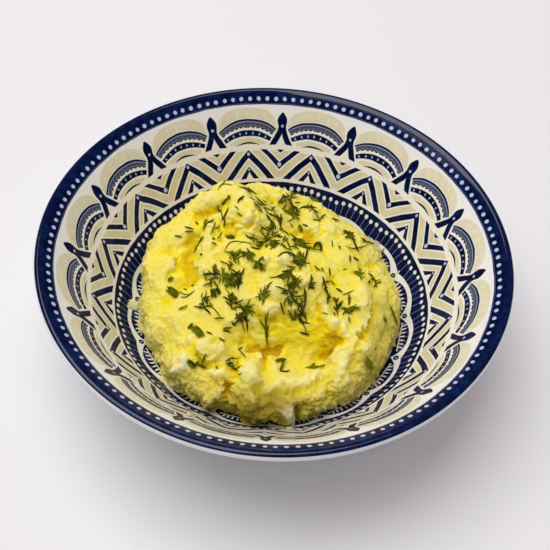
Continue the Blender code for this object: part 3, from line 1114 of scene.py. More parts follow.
# %% [markdown]
# ## Where the butter ran, and painted shade and highlights
# Melted butter gathers in hollows and creases and leaves the tips pale, and the colour also paints light:
# hollows and creases are painted deeper yellow and brown as shade, tips and lumps paler as highlights.
# How hollow a point is follows from the mesh itself: it is how far the point lies below the same surface
# relaxed by its neighbours.

# %% Butter and pale tips
pairs = edges_of(heap_mesh)
near_level = relaxed(moved, pairs, 9)
wide_level = relaxed(near_level, pairs, 50)
normals = read_points(heap_mesh, "normal")
fine_hollow = np.einsum("ij,ij->i", near_level - moved, normals) / MM
wide_hollow = np.einsum("ij,ij->i", wide_level - near_level, normals) / MM
print("fine", np.round(np.percentile(fine_hollow, [2, 10, 50, 90, 98]), 3))
print("wide", np.round(np.percentile(wide_hollow, [2, 10, 50, 90, 98]), 3))

# Listed places painted deep butter yellow: melted butter, and in the hollows among them also painted shade.
BUTTER_AND_SHADE_POOLS = (  # x, y, half length, half width, turn, strength
    (-43, 4, 6, 9, -8, 0.75),
    (-41, -5, 6, 6, 10, 1.3),
    (-41, 15, 4, 8, -10, 0.65),
    (-38, 25, 4, 5, 0, 0.7),
    (-35, 31, 7, 2.5, 5, 0.9),
    (-50, -15, 4, 3, 0, 0.8),
    (-57, -21, 2.5, 5, 20, 0.5),
    (-24, 17, 5, 5, 20, 0.9),
    (-15, 29, 6, 3, 0, 0.4),
    (-6, 42, 7, 4, 0, 0.6),
    (8, 44, 7, 4, -20, 1.0),
    (14, 26, 6, 4, -40, 1.0),
    (20, 20, 5, 4, 0, 0.6),
    (8, 12, 8, 6, 0, 0.35),
    (20, 3, 6, 4, -20, 0.5),
    (27, -1, 3, 5, 30, 0.9),
    (41, 16, 4, 3, 0, 0.5),
    (46, 4, 3, 8, 0, 0.6),
    (36, 4, 8, 8, 0, 0.3),
    (-27, -1, 4, 6, 0, 0.3),
    (-14, 3, 8, 5, 0, 0.35),
    (6, -28, 12, 5, 0, 0.9),
    (-8, -35, 8, 4, -15, 0.85),
    (22, -28, 10, 6, 0, 1.0),
    (30, -32, 6, 4, 30, 1.1),
    (12, -37, 16, 6, 0, 0.9),
    (0, -37, 8, 3, 0, 1.3),
    (5, -48, 8, 3, 10, 0.4),
    (-14, -48, 3, 6, -10, 0.7),
    (-33, -43, 3, 2, 0, 0.7),
    (-29, -45, 2, 2, 0, 0.8),
    (-17, -59, 4, 3, -60, 1.3),
    (-5, -60, 8, 2.5, 0, 0.6),
    (42, -30, 2.5, 3, 0, 0.7),
)
# Lumps painted pale: curd, and partly a painted highlight where they catch the light.
PALE_LUMPS = (
    (-15, 22, 4, 3, 0, 1.0),
    (-38, -49, 3.0, 3.2, 0, 1.5),
    (-37, -38, 3, 2.5, 0, 0.6),
    (-1, -22.5, 4.6, 2.4, 8, 1.2),
    (2.5, -14, 4.5, 1.7, 5, 0.9),
    (-14, 33, 3, 2.2, -20, 0.8),
    (-55, 5, 6, 8, 0, -0.9),
    (5, 3, 5, 2.2, 0, 1.1),
    (33, -24, 6, 4, -40, 0.7),
    (33, -39, 4, 4, 0, 0.5),
    (14, -53, 9, 2.5, 16, 0.9),
    (1, -57, 5, 3, 0, 0.6),
    (-7, -50, 4, 9, -8, 0.5),
    (-26, -40, 6, 2, 0, 0.5),
    (-18, -53, 5, 2, -10, 0.7),
    (25, 32, 5, 6, 0, 0.5),
    (44, 26, 8, 4, -30, 0.4),
    (44, -33, 3, 2.5, 0, 0.6),
    (12, -68, 2.5, 5, 0, 0.6),
    (-5, -65, 3, 3, 0, 0.6),
)
SHADED_FRONT = (  # painted shade on the lower front, which lies in shadow
    (2, -71, 36, 12.5, 0, 1.3),
    (34, -60, 26, 11, 38, 0.35),
    (54, -26, 9, 26, -12, 0.5),
    (-36, -60, 20, 8, -35, 0.6),
)
MILKY = (  # where starch and milk show without butter
    (-38, -49, 3.2, 3.4, 0, 0.7),
    (12.8, -68.5, 2.6, 3.5, 0, 0.65),
    (-61, -30, 5, 6, 0, 0.25),
)
BROWN_BUTTER_AND_CREASE_SHADE = (  # brown painted in a crease: browned butter and painted crease shade
    (-17, -59, 5, 2.0, -60, 0.9),
    (-22, -62, 4, 1.6, 20, 0.6),
    (1, -37.5, 7, 2.1, 0, 1.4),
    (29, -34, 3.5, 1.8, 30, 0.45),
    (-31, -45, 3, 1.6, -30, 0.5),
    (-14, -44, 1.6, 5, -10, 0.45),
    (43, -29, 1.6, 4, 0, 0.5),
    (13, -63, 1.5, 3, 0, 0.5),
)
# Painted shade: hollows, creases and folds get more butter yellow, on top of the butter itself.
butter_and_hollow_shade = 0.32 + 0.9 * wide_hollow + 0.8 * fine_hollow + 1.0 * fold_hollow
butter_and_hollow_shade += 0.75 * patch_sum(warped, BUTTER_AND_SHADE_POOLS)
# Height on the heap. Lower down the mash is painted darker as shade.
top_share = smooth_step(moved[:, 2], 18 * MM, 36 * MM)
butter_and_hollow_shade = np.clip(butter_and_hollow_shade * (0.35 + 0.65 * top_share), 0.0, 1.4)
# Painted highlight: crests and lumps are painted pale, partly for dry curd and partly for the light they catch.
pale = -1.3 * fine_hollow - 0.45 * wide_hollow + 0.10 * blocks + 0.55 * patch_sum(warped, PALE_LUMPS)
pale = np.clip(pale - 0.4 * butter_and_hollow_shade, 0.0, 1.0)
butter_and_hollow_shade = relaxed(butter_and_hollow_shade, pairs, 5)[:, 0]
pale = relaxed(pale, pairs, 1)[:, 0]
# Painted shade: the front patches and the mash just above the bowl are darkened in colour, where shade falls.
lowest = 1.0 - smooth_step(off_the_bowl(moved), 2.0 * MM, 9.0 * MM)
front = patch_cover(warped, SHADED_FRONT)
pale *= 1.0 - 0.5 * front
front_shade = front * np.clip(1.0 - 0.2 * blocks - 0.6 * pale + 0.4 * lowest, 0.0, 1.2)
# Painted shade: the listed creases turn brown where they are hollow.
butter_and_hollow_shade += patch_sum(warped, BROWN_BUTTER_AND_CREASE_SHADE) * smooth_step(wide_hollow + 0.4 * fine_hollow, -0.15, 0.15)
milk = patch_cover(warped, MILKY)
measures = {"butter_and_hollow_shade": butter_and_hollow_shade, "pale": pale, "front_shade": front_shade, "high": top_share, "milk": milk}
for name, values in measures.items():
    heap_mesh.attributes.new(name, "FLOAT", "POINT").data.foreach_set("value", values.astype(np.float32))
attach(heap, "root")
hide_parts("mashed_potato")
print("butter mean", round(float(butter_and_hollow_shade.mean()), 2), "pale mean", round(float(pale.mean()), 2))

# %% [markdown]
# ## The look of mash
# Mash is wet starch: light goes in, spreads a few millimetres and comes out yellow. So the shader
# scatters light under the surface, and a thin wet film gives the small soft glints.

# %% Mash material
# Besides the mash's own yellows, these colours paint light: the low colour and the dark front colour are painted shade,
# the butter yellow and the brown are partly painted shade in hollows and creases, and the curd white is partly a
# painted highlight.
PALE_MASH = (0.92, 0.80, 0.172)
CURD_WHITE_AND_HIGHLIGHT = (0.92, 0.87, 0.38)
BUTTER_AND_SHADE_YELLOW = (0.97, 0.80, 0.008)
BROWNED_AND_SHADE = (0.62, 0.39, 0.002)
LOW_SHADED_MASH = (0.76, 0.66, 0.14)
FRONT_SHADE_MASH = (0.40, 0.315, 0.03)
MILKY_MASH = (0.80, 0.80, 0.60)

mash, mash_tree, mash_shader = new_material("buttered mash")


def mesh_value(tree, name):
    node = tree.nodes.new("ShaderNodeAttribute")
    node.attribute_name = name
    return Number(tree, node.outputs["Fac"])


def kept(number):
    """The same number, kept between 0 and 1."""
    number.socket.node.use_clamp = True
    return number


mash_place = mash_tree.nodes.new("ShaderNodeTexCoord").outputs["Object"]
patches = Number(mash_tree, cloud(mash_tree, mash_place, 11 * MM, 4.0, 0.6).outputs["Fac"]) - 0.5
# Butter yellow, which in the hollows is also painted shade.
butter_and_shade_value = mesh_value(mash_tree, "butter_and_hollow_shade")
butter_and_shade_share = kept(butter_and_shade_value + patches * 0.9)
brown_and_shade_share = kept((butter_and_shade_value + patches * 0.8 - 1.02) * 1.4)
# Painted shade: the lower part of the heap is darker than the top.
ground = blend_colours(mash_tree, mesh_value(mash_tree, "high").socket, LOW_SHADED_MASH, PALE_MASH)
ground = blend_colours(mash_tree, butter_and_shade_share.socket, ground, BUTTER_AND_SHADE_YELLOW)
# Fine pale speckle: curd tone, and partly painted highlight on small ridges.
dry_and_highlight_speckle = Number(mash_tree, cloud(mash_tree, mash_place, 3 * MM, 4.0, 0.65).outputs["Fac"]) - 0.56
pale_share = kept(mesh_value(mash_tree, "pale") + dry_and_highlight_speckle * 1.8)
ground = blend_colours(mash_tree, pale_share.socket, ground, CURD_WHITE_AND_HIGHLIGHT)
# Painted shade: the shaded front is blended towards a dark olive.
ground = blend_colours(mash_tree, mesh_value(mash_tree, "front_shade").socket, ground, FRONT_SHADE_MASH)
ground = blend_colours(mash_tree, mesh_value(mash_tree, "milk").socket, ground, MILKY_MASH)
# Painted shade: the deepest creases and hollows are blended to brown.
ground = blend_colours(mash_tree, brown_and_shade_share.socket, ground, BROWNED_AND_SHADE)
mash_tree.links.new(ground, mash_shader.inputs["Base Color"])
mash_shader.inputs["Subsurface Weight"].default_value = 0.45
mash_shader.inputs["Subsurface Radius"].default_value = (1.0, 0.8, 0.2)
mash_shader.inputs["Subsurface Scale"].default_value = 2.6 * MM
mash_shader.inputs["Specular IOR Level"].default_value = 0.12
mash_roughness = butter_and_shade_share * -0.16 + 0.50
mash_tree.links.new(mash_roughness.socket, mash_shader.inputs["Roughness"])
grain = mash_tree.nodes.new("ShaderNodeBump")
grain.inputs["Strength"].default_value = 0.9
grain.inputs["Distance"].default_value = 0.25 * MM
mash_tree.links.new(cloud(mash_tree, mash_place, 0.9 * MM, 4.0, 0.7).outputs["Fac"], grain.inputs["Height"])
mash_tree.links.new(grain.outputs[0], mash_shader.inputs["Normal"])
heap_mesh.materials.clear()
heap_mesh.materials.append(mash)
print("mash uses", len(mash_tree.nodes), "nodes")
# %% [markdown]
# ## Dill
# The dill is chopped: loose needles, feathery fronds of seven or eight needles on a bit of stem, dense
# little heaps where the fingers dropped a pinch, and a few flat pieces of thicker stem. Every piece is a
# thin tube that follows a line over the mash. All of them are joined in one mesh, as loose food is.

# %% Lists of the dill, in mm on the mash
NEEDLES = (  # from x, y to x, y
    (-45.5, 22, -40.5, 20.5), (-45, 19.8, -41, 20), (-50, 17.5, -46, 17), (-40.5, 25.5, -39, 24),
    (-35, 22, -31, 23), (-28, 34, -26.5, 35.5), (-27.1, 22.5, -28.3, 28), (-27.1, 22.5, -24.6, 29),
    (-26, 24, -26, 20), (-30.5, 22.5, -32, 14), (-30.4, 18.5, -28, 21), (-26.5, 17.5, -28.5, 12),
    (-31, 12, -29.5, 12.4), (-31, 9.6, -28.5, 9.2), (-22, 29, -19.5, 25.5), (-20.5, 25, -17.5, 22.5),
    (-15, 36, -12, 34), (-33.5, -4.5, -31.5, -8.5), (-42.5, -10, -40.5, -11), (-39, -8.5, -37.5, -8.2),
    (21, 41.5, 24, 47), (20.8, 41, 20.8, 37), (7, 39.5, 10.5, 37.5), (4.5, 31, 7.5, 34), (6, 31, 7.6, 29.4),
    (3, 14, 4.5, 19), (4, 15, 5.5, 18), (19, 3.5, 22, 0.5), (22.4, 3.5, 23.2, 0.2), (26.3, 4, 26.9, 0.2),
    (27, -1.5, 29.2, -3), (25, -4.5, 26.6, -3), (27, 24, 27.6, 19.5), (36.2, 15.5, 36.4, 11), (38, 15, 41, 15.5),
    (54.5, 30, 52.5, 24), (56.2, 42.4, 53.8, 37.6), (30, -5.5, 33, -7.5), (33, -8.5, 38.5, -6), (38, 29, 41, 20.5), (1, -15, 9, -15.5),
    (-26, -27.5, -21, -28), (-21.5, -31.6, -17.2, -31.2), (-21.5, -32.8, -17.8, -32.6), (-29, -34.5, -26, -36),
    (-23, -36.5, -20, -37.6), (-14, -38, -9.5, -41.5), (-13.6, -38.6, -11.6, -36.8), (-23, -48, -21.8, -50),
    (4, -20, 6.5, -23), (29.5, -18, 30.2, -20.5), (24, -19, 26.8, -21), (36.5, -20, 37.6, -23.4),
    (14, -28.2, 19, -28.8), (34.2, -15.6, 40, -15.2), (50.5, -31, 50, -32.6), (-12.4, -54, -11, -54.6),
    (-36, 5, -35, 4), (12, 33, 15, 30.5), (-7, -4, -4, -6), (1, 38, 4, 36), (33, 5, 35, 7), (-14, 14, -9, 15),
    (-19, 1, -13, 3), (-2, -9, 3, -7.5), (8, -10, 12, -12), (-20, -12, -14, -11.5), (-6, 30, 1, 31),
)
CURVES = (  # points along the line, thickness
    (((-31, 40.5), (-30, 44), (-28.6, 47), (-26.6, 50)), 0.55),
    (((-31, 45), (-28, 46), (-24, 44.5)), 0.5),
    (((-24.5, 5.5), (-23, 9.5), (-20, 11.4), (-14, 11), (-10.5, 10)), 0.55),
    (((18, 18), (19.2, 21.6), (21, 22.4), (22, 20), (22, 17)), 1.5),
    (((15, 16), (17.5, 20)), 0.5),
    (((15.2, 15.5), (15, 10), (14, 4), (12.4, -1.5)), 1.0),
    (((1, 2), (4, 6), (8, 6.5), (10.5, 2.5)), 0.8),
    (((2, 5), (6, 7.5), (10, 5.5), (12, 1)), 0.7),
    (((34, 21.5), (38, 22), (42, 25), (46, 29.5)), 0.6),
    (((45.5, 8.5), (48, 7.8), (49.6, 4.5), (50, 0.5)), 0.9),
    (((-44, -11.5), (-41.5, -14.5), (-39, -15)), 0.6),
    (((-43, -16), (-40, -16.6), (-36.5, -13.5)), 0.6),
    (((4, -40.8), (6.4, -39.4), (9, -38.6)), 1.7),
    (((8, -39.4), (7.4, -43), (6.4, -46.4)), 1.3),
    (((6.2, -46.6), (8.4, -47.4), (11, -45.8)), 0.9),
    (((-29, -21), (-26, -23.5), (-23, -27)), 0.5),
    (((12.5, -23), (15.5, -25.5), (17.5, -28)), 0.5),
    (((-5, 36), (-2.5, 33), (-1.8, 30), (-3, 27)), 0.45),
)
FRONDS = (  # x, y, direction of the stem in degrees, length, needles
    (-28.5, 34.5, 20, 3.5, 7), (-30.5, 33.5, -60, 3, 4), (-36, 20.5, 80, 4, 6), (-20.5, 31, 60, 4, 5),
    (-21, 42.5, 0, 7, 7), (-15.5, 42.5, -80, 3.5, 5), (2, 36, 0, 7, 8), (1.8, 24.5, 105, 6, 9),
    (5, 49, 80, 8, 9), (-1, 44, 60, 7, 9), (11.5, 46, 40, 7, 6), (15.5, 49, -60, 7, 5), (17, 36, 20, 4, 6),
    (6, 25, -40, 8, 9), (11, 19, -30, 8, 9), (8, 14, 60, 8, 8), (10, 8, -70, 8, 9), (13.5, 10, -100, 7, 8),
    (-24, 6, -20, 7, 9), (-18, 5, -35, 7, 10), (-14, 7, -60, 7, 9), (-25, -3, -60, 8, 9), (-20, -4, -80, 8, 10),
    (-14, -4, -110, 8, 10), (-10.5, -1, -40, 6, 8), (42.2, 0, 95, 8, 8), (31.5, -19.5, 100, 7.5, 9),
    (36.5, -13.6, 85, 3.5, 5), (26.2, -15.8, 80, 5.5, 5), (0, -33.5, 110, 6.5, 10), (18, -41.8, 12, 7, 9),
    (-18.8, -46.5, -20, 5.5, 6), (-19, -46.5, 40, 5, 4), (-17, -30.5, 40, 6, 9), (-13.5, -29.5, 75, 6.5, 9),
    (-10, -31, 110, 7, 7), (-4.2, -22, 80, 7, 9), (-18, -24, 100, 7, 9), (-15.5, -21, -30, 7, 8),
    (16.5, -12.5, 70, 5, 6), (5, -13.5, 30, 7, 8), (6, -4, -60, 8, 9), (10, -1.5, -130, 7, 8), (1, -8.5, 30, 6, 6),
    (17, -25, 120, 6, 7), (23, -3.5, -65, 5, 6), (42.5, 34, -30, 5, 7), (16.5, 58.5, 20, 5, 6), (-9, -3.5, 40, 4, 5),
    (27, 45.5, -30, 3.5, 4), (34.5, -17.5, 20, 5, 7), (-34, -49, 10, 5, 6),
)
PINCHES = (  # x, y, half width, needles
    (-5, 32, 4.5, 20), (-3, 21, 5.0, 30), (-7, 14, 5.0, 30), (-1, 13, 4.0, 20), (5, 47, 4.5, 22), (8.5, 44, 3.0, 14),
    (34.5, 31.5, 2.8, 28), (-31.5, -20, 3.4, 30), (-18, -20, 3.2, 18), (-26.5, -8, 3.2, 24), (-18, -6, 4.5, 26),
    (9.5, -16.5, 3.4, 40), (12.5, -22, 2.4, 28), (10.5, 1.5, 3.6, 24), (48.5, 4.5, 2.2, 12), (-15.5, -28, 3.0, 14),
    (-4.5, -18, 2.2, 12), (-22, 1, 4.0, 16), (12, 20, 4.0, 14), (36, -17, 2.4, 10), (8.5, 10.5, 3.5, 14),
)
LEAVES = (  # from x, y to x, y, width
    (-40, 11.6, -35.2, 14.2, 1.0), (-24, 16.5, -21, 14.4, 2.4), (-49.8, -11.5, -44.6, -15.4, 3.4),
    (-49.8, -7.6, -48.4, -5.4, 1.8), (-27.4, -12.5, -25.6, -17.2, 3.6), (-28.4, -2, -27.4, -7, 1.8),
    (-36, -31.5, -31, -37.6, 2.8), (-37.6, -32.6, -35.4, -30.2, 1.0), (-43, -23, -39.8, -22, 1.2),
    (-35.8, -48.4, -32, -50.2, 1.6), (10.4, 31.6, 12, 29, 1.8), (8.5, 19, 13.5, 17.5, 1.5), (9.5, 42, 5, 45, 2.6),
    (2.5, -8, 6.4, -6, 1.4), (-9.6, -4.6, -8, -2.4, 1.4), (45.0, -39.2, 49.6, -39.8, 2.6), (57.5, -6, 61.5, -12.5, 1.2),
    (54.4, -13.4, 55.6, -14.8, 1.4), (30.8, 21, 31.4, 18.6, 1.2), (7, -12, 10, -12.8, 1.1), (-2, 16, -1, 10, 2.6),
    (-2, 24, -4.4, 20, 1.8), (15, -12, 15.4, -19, 1.0), (35, -17.4, 38, -16.8, 1.5), (15.4, 59.2, 19.5, 57.6, 1.6),
)
print(len(NEEDLES), "needles", len(CURVES), "curves", len(FRONDS), "fronds", len(PINCHES), "pinches", len(LEAVES), "leaves")

# %% [markdown]
# ## Laying the dill down
# A ray from above finds the height of the mash or the bowl under a point. A stiff piece rests on the
# highest bumps under it, so its line is lifted until no point of it is buried.

# %% Tubes that rest on the food
SIDES = 5
NEEDLE_WIDTH = 0.64
PINCH_SHARE = 0.55
dice = random.Random(11)
ground_trees = [BVHTree.FromPolygons(read_points(piece.data, "co").tolist(), [tuple(f.vertices) for f in piece.data.polygons])
                for piece in (heap, bowl)]


def height_under(x, y):
    """Height in mm of the food or the bowl at a place in mm."""
    above = Vector((x * MM, y * MM, 0.2))
    hits = [tree.ray_cast(above, Vector((0.0, 0.0, -1.0)))[0] for tree in ground_trees]
    return max(hit.z for hit in hits if hit is not None) / MM


dill_points, dill_faces, dill_tones = [], [], []


def add_tube(line, width, thickness, tone):
    """A tube along points in mm, tapered at both ends, as wide as 'width' and 'thickness' high."""
    first = len(dill_points)
    for number, point in enumerate(line):
        before, after = line[max(number - 1, 0)], line[min(number + 1, len(line) - 1)]
        ahead = (after - before).normalized()
        side = ahead.cross(Vector((0.0, 0.0, 1.0))).normalized()
        up = side.cross(ahead)
        share = number / (len(line) - 1)
        taper = min(1.0, 0.35 + 2.6 * min(share, 1.0 - share))
        for corner in range(SIDES):
            turn = 2.0 * math.pi * corner / SIDES
            offset = side * (math.cos(turn) * width / 2) + up * (math.sin(turn) * thickness / 2)
            dill_points.append((point + offset * taper) * MM)
            dill_tones.append(tone)
    for number in range(len(line) - 1):
        for corner in range(SIDES):
            low = first + number * SIDES + corner
            beside = first + number * SIDES + (corner + 1) % SIDES
            dill_faces.append((low, beside, beside + SIDES, low + SIDES))
    dill_faces.append(tuple(first + corner for corner in reversed(range(SIDES))))
    last = first + (len(line) - 1) * SIDES
    dill_faces.append(tuple(last + corner for corner in range(SIDES)))


def lay(places, width, thickness, lift, rise, tone, stiff=1.0):
    """Lay a piece over x, y places in mm. 'rise' lifts its far end and 'stiff' keeps it straight."""
    ground = [height_under(x, y) for x, y in places]
    last = len(places) - 1
    straight_heights = [ground[0] + (ground[-1] - ground[0]) * n / last for n in range(len(places))]
    buried = max(g - s for g, s in zip(ground, straight_heights))
    line = []
    for number, (x, y) in enumerate(places):
        stiff_height = straight_heights[number] + 0.75 * buried
        height = max(ground[number], stiff * stiff_height + (1.0 - stiff) * ground[number])
        line.append(Vector((x, y, height + lift + rise * number / last)))
    add_tube(line, width, thickness, tone)


def spread(start, end, bow, steps=5):
    """Places from start to end with a slight bow to one side."""
    across = (-(end[1] - start[1]) * bow, (end[0] - start[0]) * bow)
    places = []
    for number in range(steps):
        t = number / (steps - 1)
        swell = 4.0 * t * (1.0 - t)
        places.append((start[0] + (end[0] - start[0]) * t + across[0] * swell,
                       start[1] + (end[1] - start[1]) * t + across[1] * swell))
    return places


def smooth_places(corners, steps=4):
    """More places along a bent line, rounded by Catmull and Rom's rule."""
    rim = (corners[0],) + tuple(corners) + (corners[-1],)
    places = []
    for a, b, c, d in zip(rim, rim[1:], rim[2:], rim[3:]):
        for number in range(steps):
            t = number / steps
            places.append(tuple(0.5 * (2 * b[k] + (c[k] - a[k]) * t + (2 * a[k] - 5 * b[k] + 4 * c[k] - d[k]) * t * t
                                       + (3 * b[k] - a[k] - 3 * c[k] + d[k]) * t ** 3) for k in range(2)))
    places.append(tuple(corners[-1]))
    return places


def tone_near(middle):
    return min(1.0, max(0.0, dice.gauss(middle, 0.2)))


def thin():
    return NEEDLE_WIDTH * dice.uniform(0.7, 1.4)


for x1, y1, x2, y2 in NEEDLES:
    width = thin() * 1.15
    lay(spread((x1, y1), (x2, y2), dice.uniform(-0.06, 0.06)), width, width, width / 2, dice.uniform(0, 0.5), tone_near(0.25))
for corners, width in CURVES:
    lay(smooth_places(corners), width, width * 0.8, width / 2, 0.2, tone_near(0.35), stiff=0.5)
for x1, y1, x2, y2, width in LEAVES:
    tone = tone_near(0.5)
    long = math.hypot(x2 - x1, y2 - y1)
    aside = ((y1 - y2) / long, (x2 - x1) / long)
    strands = max(2, round(width / 0.42))
    for number in range(strands):
        off = width * ((number + 0.5) / strands - 0.5) + dice.uniform(-0.16, 0.16)
        shift = dice.uniform(-0.12, 0.12) * long
        start = (x1 + aside[0] * off + shift * (x2 - x1) / long, y1 + aside[1] * off + shift * (y2 - y1) / long)
        end = (start[0] + x2 - x1 + dice.uniform(-0.55, 0.55), start[1] + y2 - y1 + dice.uniform(-0.55, 0.55))
        lay(spread(start, end, dice.uniform(-0.06, 0.06)), 0.85, 0.7, 0.4 + dice.uniform(0.0, 0.6), 0.2, tone_near(tone), 0.7)
for x, y, direction, length, count in FRONDS:
    tone = tone_near(0.4)
    base = math.radians(direction)
    tip = (x + length * math.cos(base), y + length * math.sin(base))
    lay(spread((x, y), tip, dice.uniform(-0.08, 0.08)), 0.9, 0.7, 0.5, 0.6, tone)
    for number in range(count):
        share = min(1.0, 0.2 + 0.75 * number / count + dice.uniform(0.0, 0.15))
        side = 1.0 if dice.random() < 0.5 else -1.0
        away = base + side * math.radians(dice.uniform(8.0, 62.0) * (1.0 - 0.4 * share) + 4.0)
        reach = length * dice.uniform(0.22, 0.66)
        root = (x + length * share * math.cos(base), y + length * share * math.sin(base))
        end = (root[0] + reach * math.cos(away), root[1] + reach * math.sin(away))
        width = thin() * 1.1
        lay(spread(root, end, dice.uniform(-0.1, 0.1), 4), width, width, 0.4 + 0.6 * share, dice.uniform(0.0, 0.9), tone_near(tone))
for x, y, half_width, count in PINCHES:
    for number in range(round(count * PINCH_SHARE)):
        around_angle = dice.uniform(0.0, 2.0 * math.pi)
        away = half_width * math.sqrt(dice.random())
        heap_up = 1.0 - away / half_width
        root = (x + away * math.cos(around_angle), y + away * math.sin(around_angle))
        heading = dice.uniform(0.0, 2.0 * math.pi)
        reach = dice.uniform(2.2, 5.2)
        end = (root[0] + reach * math.cos(heading), root[1] + reach * math.sin(heading))
        width = thin()
        lay(spread(root, end, dice.uniform(-0.15, 0.15), 4), width * 1.2, width, 0.3 + 1.6 * heap_up * dice.random(),
            dice.uniform(-0.1, 0.8), tone_near(0.3))

dill_mesh = bpy.data.meshes.new("dill")
dill_mesh.from_pydata(dill_points, [], dill_faces)
dill_mesh.attributes.new("tone", "FLOAT", "POINT").data.foreach_set("value", np.array(dill_tones, dtype=np.float32))
dill_mesh.shade_smooth()
dill = bpy.data.objects.new("dill", dill_mesh)
bpy.context.scene.collection.objects.link(dill)
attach(dill, "root")
print("dill:", len(dill_faces), "faces")

# %% [markdown]
# Fresh dill is dark where the needles lie close and fresh green on the flat pieces of stem. Each piece
# has its own tone in the mesh, and the shader blends between two greens with it.

# %% Dill material
DARK_DILL = (0.020, 0.027, 0.001)
FRESH_DILL = (0.20, 0.255, 0.003)

herb, herb_tree, herb_shader = new_material("chopped dill")
herb_place = herb_tree.nodes.new("ShaderNodeTexCoord").outputs["Object"]
mottle = Number(herb_tree, cloud(herb_tree, herb_place, 1.6 * MM, 2.0, 0.5).outputs["Fac"]) - 0.5
herb_tone = kept(mesh_value(herb_tree, "tone") + mottle * 0.7)
herb_tree.links.new(blend_colours(herb_tree, herb_tone.socket, DARK_DILL, FRESH_DILL), herb_shader.inputs["Base Color"])
herb_shader.inputs["Roughness"].default_value = 0.48
herb_shader.inputs["Specular IOR Level"].default_value = 0.08
dill_mesh.materials.append(herb)
print("herb uses", len(herb_tree.nodes), "nodes")

# %% [markdown]
# ## Smears and crumbs
# The spoon left traces beside the heap: a tongue of mash that ran out of the gap in front, dabs on the
# painted line and crumbs on the wall. Each is a low dome with a ragged edge, laid on the inside of the
# bowl, and its edge sinks a little into the glaze so that it never floats.

# %% Domes of mash on the bowl
DABS = (  # x, y, half length, half width, turn in degrees, thickness, all in mm
    (-67.3, -5.6, 3.6, 2.8, 50, 1.2),  # on the painted line at the left
    (-69.2, -8.2, 1.6, 1.2, 60, 0.5),
    (-46.0, -48.6, 4.6, 2.6, -45, 1.2),  # and at the front left
    (-43.2, -51.6, 2.4, 1.5, -60, 0.7),
    (-31.8, -76.5, 1.5, 1.1, 30, 1.0),  # crumbs on the wall
    (-33.8, -74.6, 0.9, 0.6, 10, 0.4),
    (12.8, -70.2, 2.4, 2.0, 90, 0.7),  # the tongue below the gap
    (63.5, 28.0, 0.9, 0.6, 60, 0.4),
    (27.0, -70.0, 0.9, 0.6, 20, 0.4),
    (-58.0, 42.0, 0.8, 0.6, 40, 0.4),
)
FILM = (  # thin butter, given the same way
    (50.2, 45.4, 7.0, 2.7, -48, 0.16),
    (45.6, 48.8, 3.4, 1.6, -40, 0.12),
    (12.0, -73.5, 4.2, 3.4, 90, 0.12),
    (6.5, -71.5, 5.0, 1.6, 5, 0.12),
    (-28.0, -75.0, 3.6, 1.2, 15, 0.12),
)
DOME_RINGS = 7
DOME_CORNERS = 30
EDGE_WOBBLE = 0.42
SINK = 0.12


def dome_points(dab):
    """Rings of points in mm for one dab, from its middle out, with the last ring under the surface."""
    x, y, half_length, half_width, turn, thickness = dab
    angle = math.radians(turn)
    rings = []
    for ring in range(1, DOME_RINGS + 1):
        share = ring / DOME_RINGS
        points = []
        for corner in range(DOME_CORNERS):
            way = 2.0 * math.pi * corner / DOME_CORNERS
            wobble = noise.fractal(Vector((math.cos(way) * 1.7 + x, math.sin(way) * 1.7 + y, 0.5)), 0.6, 2.0, 3)
            reach = share * (1.0 + EDGE_WOBBLE * wobble)
            east, north = half_length * reach * math.cos(way), half_width * reach * math.sin(way)
            px = x + east * math.cos(angle) - north * math.sin(angle)
            py = y + east * math.sin(angle) + north * math.cos(angle)
            lump = 1.0 + 0.5 * noise.noise(Vector((px / 1.3, py / 1.3, x)))
            height = thickness * lump * (1.0 - share ** 2) ** 0.6 - SINK * share ** 4
            level = float(inside_height(math.hypot(px, py) * MM)) / MM
            points.append(Vector((px, py, level + height)))
        rings.append(points)
    middle = sum((point for point in rings[0]), Vector()) / DOME_CORNERS
    return middle, rings


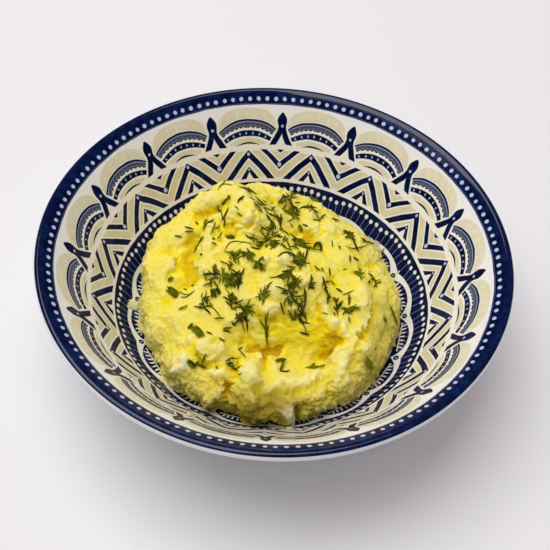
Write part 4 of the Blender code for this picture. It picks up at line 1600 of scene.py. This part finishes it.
def domes(name, dabs, underneath):
    """One closed mesh with a dome for each dab."""
    points, faces = [], []
    for dab in dabs:
        middle, rings = dome_points(dab)
        first = len(points)
        points.append(middle)
        points.extend(point for ring in rings for point in ring)
        points.append(middle - Vector((0.0, 0.0, dab[5] + underneath)))
        last = len(points) - 1
        for corner in range(DOME_CORNERS):
            after = (corner + 1) % DOME_CORNERS
            faces.append((first, first + 1 + corner, first + 1 + after))
            for ring in range(DOME_RINGS - 1):
                low = first + 1 + ring * DOME_CORNERS
                faces.append((low + corner, low + DOME_CORNERS + corner, low + DOME_CORNERS + after, low + after))
            edge = first + 1 + (DOME_RINGS - 1) * DOME_CORNERS
            faces.append((edge + corner, last, edge + after))
    mesh = bpy.data.meshes.new(name)
    mesh.from_pydata([point * MM for point in points], [], faces)
    mesh.shade_smooth()
    piece = bpy.data.objects.new(name, mesh)
    bpy.context.scene.collection.objects.link(piece)
    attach(piece, "root")
    print(name, "has", len(faces), "faces")
    return piece


smears = domes("smears", DABS, 0.4)
# Fixed mask levels for the smears, with some pale curd and highlight and a little painted front shade.
for name, level in (("butter_and_hollow_shade", 0.1), ("pale", 0.6), ("front_shade", 0.1), ("high", 0.8), ("milk", 0.35)):
    values = np.full(len(smears.data.vertices), level, dtype=np.float32)
    smears.data.attributes.new(name, "FLOAT", "POINT").data.foreach_set("value", values)
smears.data.materials.append(mash)

# %% [markdown]
# Where only butter and a little starch wiped off, the glaze shows through. That film is a shell of its
# own with a cloudy, half clear material.

# %% Film of butter
FILM_COLOUR = (0.72, 0.68, 0.44)

film = domes("butter_film", FILM, 0.2)
cloudy, cloudy_tree, cloudy_shader = new_material("cloudy film")
film_place = cloudy_tree.nodes.new("ShaderNodeTexCoord").outputs["Object"]
cover = Number(cloudy_tree, cloud(cloudy_tree, film_place, 2.5 * MM, 3.0, 0.6).outputs["Fac"])
cover = kept(cover * 1.4 - 0.02)
cloudy_tree.links.new(cover.socket, cloudy_shader.inputs["Alpha"])
cloudy_shader.inputs["Base Color"].default_value = (*FILM_COLOUR, 1.0)
cloudy_shader.inputs["Roughness"].default_value = 0.22
film.data.materials.append(cloudy)
